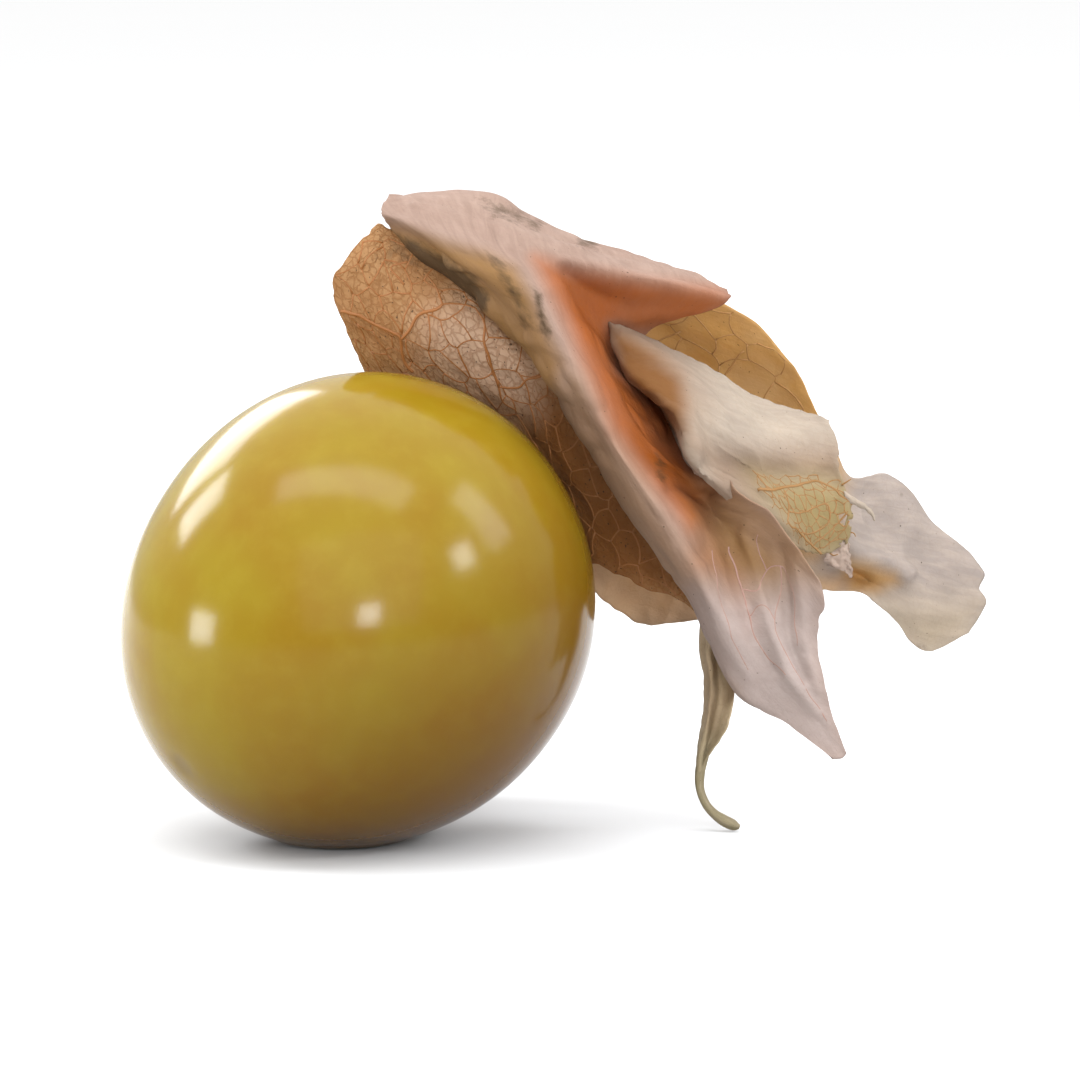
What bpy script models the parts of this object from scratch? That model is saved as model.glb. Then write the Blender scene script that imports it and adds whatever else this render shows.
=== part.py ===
"""A physalis berry with its dry husk peeled back and crumpled beside it.

The frame is in metres with +Z up. The origin is on the small flat spot that the berry rests on,
+X runs from the berry towards the husk's tips and +Y runs towards the back.
Sizes below are in millimetres.
"""

import math

import bmesh
import bpy
import numpy as np
from mathutils import Matrix, Vector

MM = 0.001

# The berry: a round fruit, a little longer along its own axis, a little three-cornered.
BERRY_RADIUS = 10.0
BERRY_STRETCH = 0.097
BERRY_STRETCH_MEAN = 0.29
BERRY_CORNER = 0.10
BERRY_CORNER_TURN = math.radians(23)
STEM_END = np.array((0.55, 0.65, 0.52)) / np.linalg.norm((0.55, 0.65, 0.52))
FLAT_DEPTH = 0.2
BERRY_AROUND = 40
BERRY_ALONG = 20

# The husk: one papery calyx of joined sepals, here as thin blades.
BLADE = 0.62
GAP = 0.3
SHEET_STEP = 1.15

# The point that the calyx grows from, and the fruit stalk behind it.
BOSS_RADIUS = 2.3
BOSS_THICKNESS = 1.1
STALK_RADIUS = 0.6
STALK_FLARE = 0.95
STALK_BEND = ((0, 0, 0), (0.8, 1.2, 0.7), (1.5, 2.9, 1.2), (1.9, 4.9, 1.2), (1.9, 6.9, 0.7))

# Points of the husk are given as they are seen from the front, a little from above:
# how far right and how far up of the rest spot, and how far behind the berry's middle.
SIGHT_TILT = math.radians(7)
SIGHT_DISTANCE = 300.0
SIGHT_CENTRE = (7.67, 12.69)


def sight_point(right, up):
    """The point of the picture plane, which stands square to the line of sight on the rest spot."""
    return np.array((right, up * math.sin(SIGHT_TILT), up * math.cos(SIGHT_TILT)))


EYE = sight_point(*SIGHT_CENTRE) - SIGHT_DISTANCE * np.array((0, math.cos(SIGHT_TILT), -math.sin(SIGHT_TILT)))


def seen(right, up, back):
    """The point at that depth on the line of sight through (right, up)."""
    on_plane = sight_point(right, up)
    return EYE + (on_plane - EYE) * (back - EYE[1]) / (on_plane[1] - EYE[1])


# The back panel stands behind the berry, and its long tip curls down to the table.
# Each line runs from the rim at the upper left to the tip, and the lines go from the lower edge up.
BACK_PANEL = (
    ((0.6, 18.9, 6.8), (3.0, 16.7, 8.3), (5.0, 14.6, 8.9), (6.8, 13.0, 8.4), (8.4, 11.9, 7.2), (10.2, 11.5, 5.2),
     (12.3, 10.6, 4.3), (14.0, 10.0, 3.8), (14.6, 8.6, 3.3), (14.85, 6.9, 2.9)),
    ((-0.35, 20.9, 4.6), (1.6, 19.5, 5.2), (4.0, 17.9, 6.2), (6.5, 16.0, 6.8), (8.6, 13.9, 6.0), (10.6, 12.6, 4.8),
     (12.7, 11.3, 4.0), (14.2, 10.4, 3.5), (14.85, 8.7, 3.0), (15.1, 6.7, 2.8)),
    ((-1.15, 23.4, 3.6), (0.9, 22.0, 3.8), (3.4, 20.6, 4.0), (6.5, 18.7, 4.3), (8.9, 16.1, 4.4), (11.0, 13.9, 4.2),
     (13.0, 12.0, 3.8), (14.4, 10.7, 3.3), (15.1, 8.8, 2.8), (15.35, 6.5, 2.7)),
    ((-0.6, 24.9, 3.4), (1.3, 24.0, 3.6), (4.0, 22.5, 3.6), (7.2, 20.4, 3.8), (9.5, 17.8, 3.9), (11.5, 15.0, 3.9),
     (13.3, 12.7, 3.7), (14.65, 10.7, 3.2), (15.3, 8.7, 2.8), (15.6, 6.3, 2.7)),
    ((0.9, 26.3, 4.4), (2.4, 25.6, 4.6), (5.2, 24.0, 4.8), (8.2, 21.8, 4.8), (10.1, 18.9, 4.6), (12.0, 15.8, 4.4),
     (13.7, 13.2, 4.0), (14.9, 10.9, 3.3), (15.6, 8.8, 3.0), (15.95, 6.2, 2.9)),
)

# The folded sepal rolls over the top, then comes down in one sharp rib beside a deep valley.
# Each line runs from the back edge over the top to the tip, and the lines go from left to right.
FOLDED_SEPAL = (
    ((1.9, 25.4, 6.4), (1.3, 27.1, 5.2), (0.95, 26.5, 3.6), (1.2, 25.5, 4.4), (3.2, 23.9, 4.6),
     (5.6, 22.0, 4.6), (7.6, 19.8, 4.7), (9.6, 17.0, 4.7), (11.6, 14.4, 4.6), (13.2, 12.2, 4.4),
     (14.3, 10.3, 3.6), (15.0, 8.1, 2.7), (16.0, 6.05, 1.7), (17.9, 5.05, 1.25), (19.75, 3.75, 1.2)),
    ((3.6, 25.2, 7.2), (3.2, 27.4, 5.6), (3.0, 26.0, 2.8), (3.9, 24.7, 2.2), (5.6, 23.0, 1.8),
     (7.3, 21.1, 1.6), (8.9, 19.0, 1.4), (10.6, 16.5, 1.4), (12.4, 14.0, 1.5), (13.8, 11.9, 1.5),
     (14.8, 9.9, 1.5), (15.5, 8.2, 1.5), (16.6, 6.3, 1.25), (18.3, 5.2, 1.2), (19.95, 3.8, 1.2)),
    ((6.2, 24.8, 7.6), (5.6, 27.3, 5.8), (6.4, 25.3, 1.6), (7.4, 24.0, 0.2), (8.2, 22.4, -0.2),
     (9.3, 20.5, -0.5), (10.5, 18.4, -0.7), (11.8, 16.1, -0.8), (13.2, 13.8, -0.7), (14.3, 11.8, -0.4),
     (15.2, 9.8, 0.0), (16.1, 8.3, 0.5), (17.3, 6.6, 0.95), (18.65, 5.35, 1.15), (20.12, 3.85, 1.2)),
    ((8.8, 24.2, 7.8), (8.4, 26.0, 5.8), (8.6, 24.9, 1.8), (9.0, 23.8, 2.4), (9.8, 22.0, 2.8),
     (10.9, 20.2, 2.9), (12.0, 18.2, 2.7), (13.1, 16.3, 2.3), (14.2, 14.3, 1.6), (15.3, 12.4, 1.0),
     (16.1, 10.2, 0.7), (16.9, 8.5, 0.5), (18.0, 6.8, 0.8), (19.0, 5.5, 1.1), (20.3, 3.9, 1.2)),
    ((11.0, 23.7, 7.6), (10.6, 25.2, 5.6), (10.8, 24.3, 1.8), (11.0, 22.6, 3.2), (11.4, 20.8, 5.4),
     (12.4, 19.2, 5.6), (13.0, 17.6, 5.2), (13.7, 16.1, 4.4), (14.8, 14.4, 2.8), (16.2, 12.6, 1.8),
     (17.3, 10.6, 1.1), (17.8, 8.8, 0.6), (18.7, 7.0, 0.8), (19.35, 5.6, 1.1), (20.45, 3.95, 1.2)),
    ((13.4, 23.2, 7.0), (13.0, 24.4, 5.2), (13.2, 23.8, 1.9), (13.0, 22.1, 3.0), (13.0, 20.2, 5.8),
     (13.8, 18.6, 6.0), (14.2, 17.4, 5.4), (14.6, 16.0, 4.2), (15.4, 14.7, 2.0), (17.0, 13.1, 1.0),
     (18.6, 11.2, 0.8), (18.8, 9.0, 0.7), (19.3, 7.15, 0.9), (19.7, 5.75, 1.12), (20.6, 4.0, 1.2)),
    ((15.0, 22.9, 6.0), (15.4, 23.5, 4.4), (15.8, 23.0, 2.8), (15.2, 22.5, 3.2), (14.8, 20.4, 6.0),
     (15.0, 18.6, 6.0), (15.2, 17.4, 5.2), (15.3, 16.2, 3.6), (16.0, 15.0, 0.8), (17.9, 13.4, 0.2),
     (19.75, 10.6, 0.5), (19.65, 9.1, 0.8), (19.7, 7.3, 1.0), (20.05, 5.9, 1.15), (20.8, 4.05, 1.2)),
)

# The pale flap turns out of the valley, and its lower corner is worn to a torn net.
# Each line runs from inside the valley over the crest to the outer edge, from the top edge down.
PALE_FLAP = (
    ((10.6, 21.8, 4.2), (11.1, 22.0, 3.0), (13.2, 20.9, 3.4), (16.0, 19.4, 4.6), (19.0, 18.25, 5.6), (20.1, 17.7, 5.6)),
    ((11.6, 19.9, 5.4), (12.7, 20.1, 1.2), (14.6, 18.9, 1.8), (17.0, 17.6, 3.2), (19.4, 17.0, 4.8), (20.4, 16.7, 5.0)),
    ((12.8, 18.5, 5.4), (13.6, 18.0, 0.3), (15.4, 17.0, 1.2), (17.6, 15.9, 2.8), (19.6, 15.4, 4.2), (20.6, 15.2, 4.4)),
    ((13.8, 16.6, 4.4), (14.3, 15.9, 0.0), (16.2, 15.0, 1.4), (18.2, 14.2, 2.9), (20.0, 13.8, 3.8), (21.0, 13.6, 4.0)),
    ((14.4, 15.6, 3.6), (14.6, 15.4, 0.8), (16.4, 14.2, 2.2), (18.8, 12.8, 3.4), (20.0, 12.2, 3.8), (20.8, 12.6, 4.0)),
)

# The far sepal spreads behind the others and ends in a broad torn lobe at the right.
# Each line runs from the root to the torn end, and the lines go from the upper edge down.
FAR_SEPAL = (
    ((7.4, 17.6, 5.9), (8.6, 20.0, 7.6), (12.0, 23.4, 8.8), (15.9, 22.7, 8.4), (18.1, 20.7, 8.6),
     (19.6, 18.1, 8.8), (20.9, 15.6, 9.6), (22.6, 15.5, 11.0), (24.4, 13.5, 12.4), (26.3, 11.95, 13.4)),
    ((7.7, 17.0, 5.7), (8.9, 18.2, 7.9), (12.2, 20.6, 9.8), (15.6, 19.6, 9.6), (17.6, 18.2, 9.4),
     (19.2, 16.4, 9.2), (20.9, 14.2, 9.0), (22.6, 13.6, 10.2), (24.6, 12.4, 11.8), (26.75, 11.2, 13.2)),
    ((7.9, 16.3, 5.7), (9.0, 16.3, 8.0), (12.3, 17.2, 10.2), (15.3, 16.2, 10.0), (17.2, 15.4, 9.6),
     (19.2, 14.2, 9.0), (21.2, 12.2, 8.2), (22.9, 11.7, 9.8), (24.7, 11.2, 11.6), (26.45, 10.6, 13.0)),
    ((7.9, 15.6, 5.9), (9.1, 14.2, 8.0), (12.3, 13.4, 9.6), (15.2, 12.6, 9.4), (17.2, 12.4, 9.2),
     (19.2, 12.2, 9.0), (21.2, 11.3, 10.0), (22.9, 10.5, 10.4), (24.6, 9.8, 11.6), (26.7, 10.0, 13.0)),
    ((7.7, 14.9, 6.2), (9.0, 11.6, 7.6), (11.6, 9.2, 8.0), (14.2, 9.3, 7.6), (16.6, 10.2, 7.8),
     (18.8, 10.5, 8.2), (20.8, 10.5, 9.0), (22.3, 9.6, 10.2), (24.0, 8.0, 11.8), (25.9, 8.8, 12.8)),
)

# The rear sepal hangs down behind the berry, and its dry tip props the berry from behind.
# Each line runs from the root to the tip, and the lines go from left to right.
REAR_SEPAL = (
    ((2.6, 16.9, 8.4), (-0.4, 14.6, 10.9), (-1.9, 10.2, 11.9), (-1.3, 5.6, 12.3), (0.4, 2.18, 12.6)),
    ((3.6, 16.0, 8.8), (1.0, 13.8, 11.4), (-0.2, 9.6, 12.5), (0.0, 5.3, 12.7), (1.0, 2.12, 12.8)),
    ((4.8, 15.2, 9.0), (2.8, 12.9, 11.6), (2.1, 9.0, 12.7), (1.8, 5.1, 12.8), (1.5, 2.1, 12.9)),
    ((5.9, 14.4, 9.0), (4.6, 12.0, 11.4), (4.2, 8.6, 12.3), (3.4, 5.2, 12.5), (2.1, 2.15, 12.8)),
)

# The back panel's tip goes on as a thin dry hook, which stands on the table.
HOOK_LINE = ((15.3, 7.2, 2.75), (15.3, 6.0, 2.7), (15.1, 4.7, 2.55), (14.7, 3.5, 2.45), (14.5, 2.6, 2.3),
             (14.6, 1.8, 2.15), (15.0, 1.15, 2.0),
             (15.55, 0.82, 1.9), (16.1, 0.6, 1.9))
HOOK_RADII = (0.45, 0.56, 0.48, 0.36, 0.3, 0.3, 0.32, 0.36, 0.3)


def clear_scene():
    for obj in list(bpy.data.objects):
        bpy.data.objects.remove(obj)


def finish_material(name, hex_colour, roughness):
    """A plain Principled finish, with its colour given as sRGB hex."""
    channels = [int(hex_colour[i:i + 2], 16) / 255 for i in (0, 2, 4)]
    linear = [c / 12.92 if c <= 0.04045 else ((c + 0.055) / 1.055) ** 2.4 for c in channels]
    material = bpy.data.materials.new(name)
    material.use_nodes = True
    shader = material.node_tree.nodes["Principled BSDF"]
    shader.inputs["Base Color"].default_value = (*linear, 1)
    shader.inputs["Roughness"].default_value = roughness
    return material


def add_object(name, mesh_data, material=None):
    obj = bpy.data.objects.new(name, mesh_data)
    bpy.context.scene.collection.objects.link(obj)
    if material:
        mesh_data.materials.append(material)
    return obj


def berry_reach(directions):
    """The berry's surface, as its distance from the berry's middle along unit directions."""
    along = directions @ STEM_END
    stretch = 1 + BERRY_STRETCH * (along ** 2 - BERRY_STRETCH_MEAN)
    turned = (directions[:, 0] + 1j * directions[:, 2]) * np.exp(1j * BERRY_CORNER_TURN)
    return BERRY_RADIUS * stretch + BERRY_CORNER * (turned ** 3).real


def berry_height():
    """How high the berry's middle stands, from the lowest point of its surface."""
    angles = np.radians(np.arange(-20, 21))
    across, deep = (a.ravel() for a in np.meshgrid(angles, angles))
    down = np.column_stack((np.sin(across), np.sin(deep), -np.ones_like(across)))
    down /= np.linalg.norm(down, axis=1)[:, None]
    return -(down * berry_reach(down)[:, None])[:, 2].min() - FLAT_DEPTH


BERRY_MIDDLE = np.array((0, 0, berry_height()))


def make_berry(material):
    """A round mesh with its poles on the berry's axis, cut flat where it rests."""
    builder = bmesh.new()
    bmesh.ops.create_uvsphere(builder, u_segments=BERRY_AROUND, v_segments=BERRY_ALONG, radius=1)
    turn = Vector((0, 0, 1)).rotation_difference(Vector(STEM_END)).to_matrix()
    for vertex in builder.verts:
        direction = np.array(turn @ vertex.co)
        reach = berry_reach(direction[None])[0]
        vertex.co = (BERRY_MIDDLE + direction * reach) * MM
    every = builder.verts[:] + builder.edges[:] + builder.faces[:]
    cut = bmesh.ops.bisect_plane(builder, geom=every, plane_co=(0, 0, 0), plane_no=(0, 0, -1), clear_outer=True)
    rim = [piece for piece in cut["geom_cut"] if isinstance(piece, bmesh.types.BMEdge)]
    bmesh.ops.contextual_create(builder, geom=rim)
    bmesh.ops.recalc_face_normals(builder, faces=builder.faces)
    mesh_data = bpy.data.meshes.new("berry")
    builder.to_mesh(mesh_data)
    builder.free()
    berry = add_object("berry", mesh_data, material)
    mesh_data.shade_smooth()
    mesh_data.set_sharp_from_angle(angle=math.radians(40))
    return berry


def spline(points, places):
    """Smooth positions along a row of points, at places counted in points, by Catmull and Rom's rule."""
    points = np.asarray(points, float)
    ends = np.concatenate((2 * points[:1] - points[1:2], points, 2 * points[-1:] - points[-2:-1]))
    start = np.clip(np.floor(places).astype(int), 0, len(points) - 2)
    t = (places - start).reshape(-1, *[1] * (points.ndim - 1))
    a, b, c, d = (ends[start + i] for i in range(4))
    return 0.5 * (2 * b + (c - a) * t + (2 * a - 5 * b + 4 * c - d) * t ** 2 + (3 * b - a - 3 * c + d) * t ** 3)


def even_places(points, step):
    """Places along a row of points at about that spacing, in points."""
    fine = np.linspace(0, len(points) - 1, 400)
    travelled = np.concatenate(([0], np.cumsum(np.linalg.norm(np.diff(spline(points, fine), axis=0), axis=1))))
    count = max(3, round(travelled[-1] / step))
    return np.interp(np.linspace(0, travelled[-1], count + 1), travelled, fine)


def clear_of_berry(points, room):
    """Moves points outwards where they come nearer to the berry's surface than room."""
    out = points - BERRY_MIDDLE
    distance = np.linalg.norm(out, axis=-1, keepdims=True)
    direction = out / distance
    nearest = berry_reach(direction.reshape(-1, 3)).reshape(distance.shape) + room
    return BERRY_MIDDLE + direction * np.maximum(distance, nearest)


def sheet_grid(lines, step=SHEET_STEP):
    """The middle surface of a sheet through its lines, as a grid of points, lines first."""
    net = np.array([[seen(*point) for point in line] for line in lines])
    along = even_places(net.mean(axis=0), step)
    across = even_places(net[:, net.shape[1] // 2], step)
    grid = spline(np.moveaxis(spline(net, across), 1, 0), along).swapaxes(0, 1)
    return clear_of_berry(grid, GAP + BLADE / 2)


def sheet_blade(name, lines):
    """A blade of even thickness on a sheet's middle surface, split into triangles alike on both faces."""
    grid = sheet_grid(lines)
    rows, columns = grid.shape[:2]
    builder = bmesh.new()
    bmesh.ops.create_grid(builder, x_segments=columns - 1, y_segments=rows - 1, size=0.5)
    for vertex in builder.verts:
        column = round((vertex.co.x + 0.5) * (columns - 1))
        row = round((vertex.co.y + 0.5) * (rows - 1))
        vertex.co = grid[row, column] * MM
    bmesh.ops.triangulate(builder, faces=builder.faces)
    mesh_data = bpy.data.meshes.new(name)
    builder.to_mesh(mesh_data)
    builder.free()
    blade = bpy.data.objects.new(name, mesh_data)
    thicken = blade.modifiers.new("thicken", "SOLIDIFY")
    thicken.thickness = BLADE * MM
    thicken.offset = 0
    return blade


def tube(name, line, radii, sides):
    """A round tapering mesh with closed ends, along a smooth line of points in the frame."""
    curve = bpy.data.curves.new(name, "CURVE")
    curve.dimensions = "3D"
    curve.bevel_depth = MM
    curve.bevel_resolution = sides // 4 - 1
    curve.use_fill_caps = True
    path = curve.splines.new("POLY")
    path.points.add(len(line) - 1)
    for point, place, radius in zip(path.points, line, radii):
        point.co = (*(place * MM), 1)
        point.radius = radius
    holder = bpy.data.objects.new(name, curve)
    mesh_data = bpy.data.meshes.new_from_object(holder)
    mesh_data.name = name
    bpy.data.objects.remove(holder)
    bpy.data.curves.remove(curve)
    return mesh_data


def make_boss():
    """The round pad at the berry's stem end that the sepals grow from, and the point of its top."""
    foot = berry_reach(STEM_END[None])[0] + GAP
    builder = bmesh.new()
    bmesh.ops.create_uvsphere(builder, u_segments=16, v_segments=8, radius=1)
    size = Matrix.Diagonal((BOSS_RADIUS, BOSS_RADIUS, BOSS_THICKNESS / 2, 1))
    turn = Vector((0, 0, 1)).rotation_difference(Vector(STEM_END)).to_matrix().to_4x4()
    place = Matrix.Translation(Vector(BERRY_MIDDLE + STEM_END * (foot + BOSS_THICKNESS / 2)))
    bmesh.ops.transform(builder, matrix=Matrix.Scale(MM, 4) @ place @ turn @ size, verts=builder.verts)
    mesh_data = bpy.data.meshes.new("husk")
    builder.to_mesh(mesh_data)
    builder.free()
    return mesh_data, BERRY_MIDDLE + STEM_END * (foot + BOSS_THICKNESS)


def keep_outer_skin(mesh_data):
    """Keeps the largest closed skin alone, so that a pocket sealed between two sepals is filled."""
    builder = bmesh.new()
    builder.from_mesh(mesh_data)
    left = set(builder.faces)
    skins = []
    while left:
        reached = [left.pop()]
        skin = []
        while reached:
            face = reached.pop()
            skin.append(face)
            for edge in face.edges:
                for other in edge.link_faces:
                    if other in left:
                        left.remove(other)
                        reached.append(other)
        skins.append(skin)
    skins.sort(key=len)
    inner = [face for skin in skins[:-1] for face in skin]
    bmesh.ops.delete(builder, geom=inner, context="FACES")
    builder.to_mesh(mesh_data)
    builder.free()


def make_husk(material):
    """The sepals, the hook and the boss, joined in one solid."""
    boss_mesh, boss_top = make_boss()
    husk = add_object("husk", boss_mesh, material)
    sheets = {"back_panel": BACK_PANEL, "folded_sepal": FOLDED_SEPAL, "pale_flap": PALE_FLAP,
              "far_sepal": FAR_SEPAL, "rear_sepal": REAR_SEPAL}
    sepals = bpy.data.collections.new("sepals")
    for name, lines in sheets.items():
        sepals.objects.link(sheet_blade(name, lines))
    places = np.arange(0, len(HOOK_LINE) - 0.99, 0.5)
    hook_line = spline([seen(*point) for point in HOOK_LINE], places)
    hook_mesh = tube("hook", hook_line, spline(HOOK_RADII, places), sides=8)
    sepals.objects.link(bpy.data.objects.new("hook", hook_mesh))
    bpy.context.scene.collection.children.link(sepals)
    join = husk.modifiers.new("join", "BOOLEAN")
    join.operation = "UNION"
    join.operand_type = "COLLECTION"
    join.collection = sepals
    join.use_self = True
    whole = bpy.data.meshes.new_from_object(husk.evaluated_get(bpy.context.evaluated_depsgraph_get()))
    whole.name = "husk"
    husk.modifiers.clear()
    husk.data = whole
    keep_outer_skin(whole)
    for piece in list(sepals.objects):
        bpy.data.objects.remove(piece)
    bpy.data.collections.remove(sepals)
    return boss_top


def make_stalk(material, boss_top):
    """The fruit stalk, cut off short, which bends back and down behind the husk."""
    places = np.arange(0, len(STALK_BEND) - 0.99, 0.5)
    line = boss_top + STEM_END * GAP + spline(STALK_BEND, places)
    radii = STALK_RADIUS + (STALK_FLARE - STALK_RADIUS) * np.exp(-places / 0.45)
    stalk = add_object("stalk", tube("stalk", line, radii, sides=12), material)
    stalk.data.shade_smooth()
    stalk.data.set_sharp_from_angle(angle=math.radians(40))


def main():
    clear_scene()
    make_berry(finish_material("berry_skin", "B08A28", 0.22))
    boss_top = make_husk(finish_material("dry_husk", "B98A62", 0.8))
    make_stalk(finish_material("dry_stalk", "8A7A4E", 0.75), boss_top)


main()
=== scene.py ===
"""The looks of a physalis berry with its dry husk peeled back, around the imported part."""

import math

import bmesh
import bpy
import numpy as np
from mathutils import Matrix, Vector, kdtree
from mathutils.geometry import delaunay_2d_cdt


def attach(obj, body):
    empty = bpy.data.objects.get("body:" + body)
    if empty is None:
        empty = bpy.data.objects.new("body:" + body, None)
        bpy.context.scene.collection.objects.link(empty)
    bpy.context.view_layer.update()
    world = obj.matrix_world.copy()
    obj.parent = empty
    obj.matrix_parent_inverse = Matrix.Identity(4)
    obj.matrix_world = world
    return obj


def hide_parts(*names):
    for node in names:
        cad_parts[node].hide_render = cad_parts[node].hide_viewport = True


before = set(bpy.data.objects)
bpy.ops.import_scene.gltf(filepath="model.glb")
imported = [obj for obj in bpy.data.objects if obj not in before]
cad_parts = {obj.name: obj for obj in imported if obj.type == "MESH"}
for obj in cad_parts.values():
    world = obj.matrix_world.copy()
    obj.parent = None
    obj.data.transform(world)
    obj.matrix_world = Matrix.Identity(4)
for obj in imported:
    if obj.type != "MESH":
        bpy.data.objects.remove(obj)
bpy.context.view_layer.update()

# ---- The berry ----
# One ripe fruit of Physalis peruviana: juicy flesh under a smooth skin with a thin coat of wax.
# It is a little longer along its own axis, a little three-cornered, and rests on a small flat spot.

MM = 0.001
BERRY_RADIUS = 10.0
BERRY_STRETCH = 0.097
BERRY_STRETCH_MEAN = 0.29
BERRY_CORNER = 0.10
BERRY_CORNER_TURN = math.radians(23)
FLAT_DEPTH = 0.2
# Below REST_HEIGHT the skin flattens softly, by up to REST_SHARE of that height.
REST_HEIGHT = 0.25
REST_BLEND = 0.06
REST_SHARE = 0.9
# Height and size in mm of the skin's waves, with the seed of their draw, and then the depth and width in mm
# of its dimples.
SKIN_WAVES = ((0.035, 6.0, 3), (0.012, 2.2, 4))
SCAR_DIMPLE = (0.05, 0.6)
STEM_DIMPLE = (0.3, 1.4)
RANDOM_CELLS = 61
RANDOM_START = 17.3


def unit(vectors):
    """Vectors with their length set to one."""
    vectors = np.asarray(vectors, float)
    return vectors / np.maximum(np.linalg.norm(vectors, axis=-1, keepdims=True), 1e-9)


STEM_END = unit((0.55, 0.65, 0.52))
BLOSSOM_SCAR = unit((-0.68, -0.50, -0.54))


def linear_colour(code):
    """An sRGB hex colour as linear RGBA."""
    channels = [int(code[i:i + 2], 16) / 255 for i in (0, 2, 4)]
    return (*(c / 12.92 if c <= 0.04045 else ((c + 0.055) / 1.055) ** 2.4 for c in channels), 1.0)


def add_node(tree, kind, settings=None, links=None):
    """Adds a node with its own settings or its inputs', and with what its inputs are linked to."""
    node = tree.nodes.new(kind)
    for name, value in (settings or {}).items():
        if isinstance(name, str) and hasattr(node, name):
            setattr(node, name, value)
        else:
            node.inputs[name].default_value = value
    for name, socket in (links or {}).items():
        tree.links.new(socket, node.inputs[name])
    return node


def node_material(name):
    """A new material, its node tree and its shader."""
    material = bpy.data.materials.new(name)
    material.use_nodes = True
    return material, material.node_tree, material.node_tree.nodes["Principled BSDF"]


def noise(tree, place, size, detail, roughness=0.5, distortion=0.0):
    """Cloudy noise from 0 to 1 in patches of about that size."""
    settings = {"Scale": 1 / size, "Detail": detail, "Roughness": roughness, "Distortion": distortion}
    return add_node(tree, "ShaderNodeTexNoise", settings, {"Vector": place}).outputs["Fac"]


def ranged(tree, value, low, high, start, end, kind="LINEAR"):
    """A value between low and high, mapped to one between start and end."""
    settings = {"From Min": low, "From Max": high, "To Min": start, "To Max": end,
                "interpolation_type": kind}
    return add_node(tree, "ShaderNodeMapRange", settings, {"Value": value}).outputs["Result"]


def combined(tree, operation, first, second):
    """Two values added or multiplied."""
    return add_node(tree, "ShaderNodeMath", {"operation": operation}, {0: first, 1: second}).outputs["Value"]


def two_tones(tree, value, low, high, tones):
    """A colour between two tones, as value runs from low to high."""
    ramp = add_node(tree, "ShaderNodeValToRGB", {}, {"Fac": value})
    for stop, place, tone in zip(ramp.color_ramp.elements, (low, high), tones):
        stop.position = place
        stop.color = linear_colour(tone)
    return ramp.outputs["Color"]


def tinted(tree, under, tint, amount):
    """A colour with a tint laid over it, as strongly as amount says."""
    settings = {"data_type": "RGBA", 7: linear_colour(tint)}
    return add_node(tree, "ShaderNodeMix", settings, {0: amount, 6: under}).outputs[2]


def berry_reach(directions):
    """The skin, as its distance in mm from the berry's middle along unit directions."""
    along = directions @ STEM_END
    stretch = 1 + BERRY_STRETCH * (along ** 2 - BERRY_STRETCH_MEAN)
    turned = (directions[:, 0] + 1j * directions[:, 2]) * np.exp(1j * BERRY_CORNER_TURN)
    return BERRY_RADIUS * stretch + BERRY_CORNER * (turned ** 3).real


def berry_height():
    """How high the berry's middle stands in mm, from the lowest point of its skin."""
    angles = np.radians(np.arange(-20, 21))
    across, deep = (a.ravel() for a in np.meshgrid(angles, angles))
    down = unit(np.column_stack((np.sin(across), np.sin(deep), -np.ones_like(across))))
    return -(down * berry_reach(down)[:, None])[:, 2].min() - FLAT_DEPTH


BERRY_MIDDLE = np.array((0, 0, berry_height()))


def ripple(places, size, seed):
    """Smooth random heights from -1 to 1 at places in mm, in waves of about that size."""
    table = np.random.default_rng(seed).uniform(-1, 1, (RANDOM_CELLS,) * places.shape[-1])
    spot = places / size + RANDOM_START
    low = np.floor(spot).astype(int)
    blend = spot - low
    blend = blend * blend * (3 - 2 * blend)
    total = np.zeros(places.shape[:-1])
    for corner in np.ndindex(*(2,) * places.shape[-1]):
        share = np.prod(np.where(corner, blend, 1 - blend), axis=-1)
        total += share * table[tuple(np.moveaxis((low + corner) % RANDOM_CELLS, -1, 0))]
    return total


def skin_mesh():
    """The berry's skin: a fine wavy ball, dimpled at both ends and flat where it rests."""
    builder = bmesh.new()
    bmesh.ops.create_icosphere(builder, subdivisions=7, radius=1)
    directions = unit([v.co for v in builder.verts])
    reach = berry_reach(directions)
    places = directions * BERRY_RADIUS
    reach += sum(height * ripple(places, size, seed) for height, size, seed in SKIN_WAVES)
    for end, (depth, width) in ((BLOSSOM_SCAR, SCAR_DIMPLE), (STEM_END, STEM_DIMPLE)):
        away = np.arccos(np.clip(directions @ end, -1, 1)) * BERRY_RADIUS
        reach -= depth * np.exp(-(away / width) ** 2)
    points = BERRY_MIDDLE + directions * reach[:, None]
    sunk = np.clip(REST_HEIGHT - points[:, 2], 0, None)
    flattened = REST_HEIGHT - sunk * REST_HEIGHT / (sunk + REST_BLEND) * REST_SHARE
    points[:, 2] = np.where(points[:, 2] < REST_HEIGHT, flattened, points[:, 2])
    for vertex, point in zip(builder.verts, points):
        vertex.co = point * MM
    mesh = bpy.data.meshes.new("berry_skin")
    builder.to_mesh(mesh)
    builder.free()
    mesh.shade_smooth()
    return mesh


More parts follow.
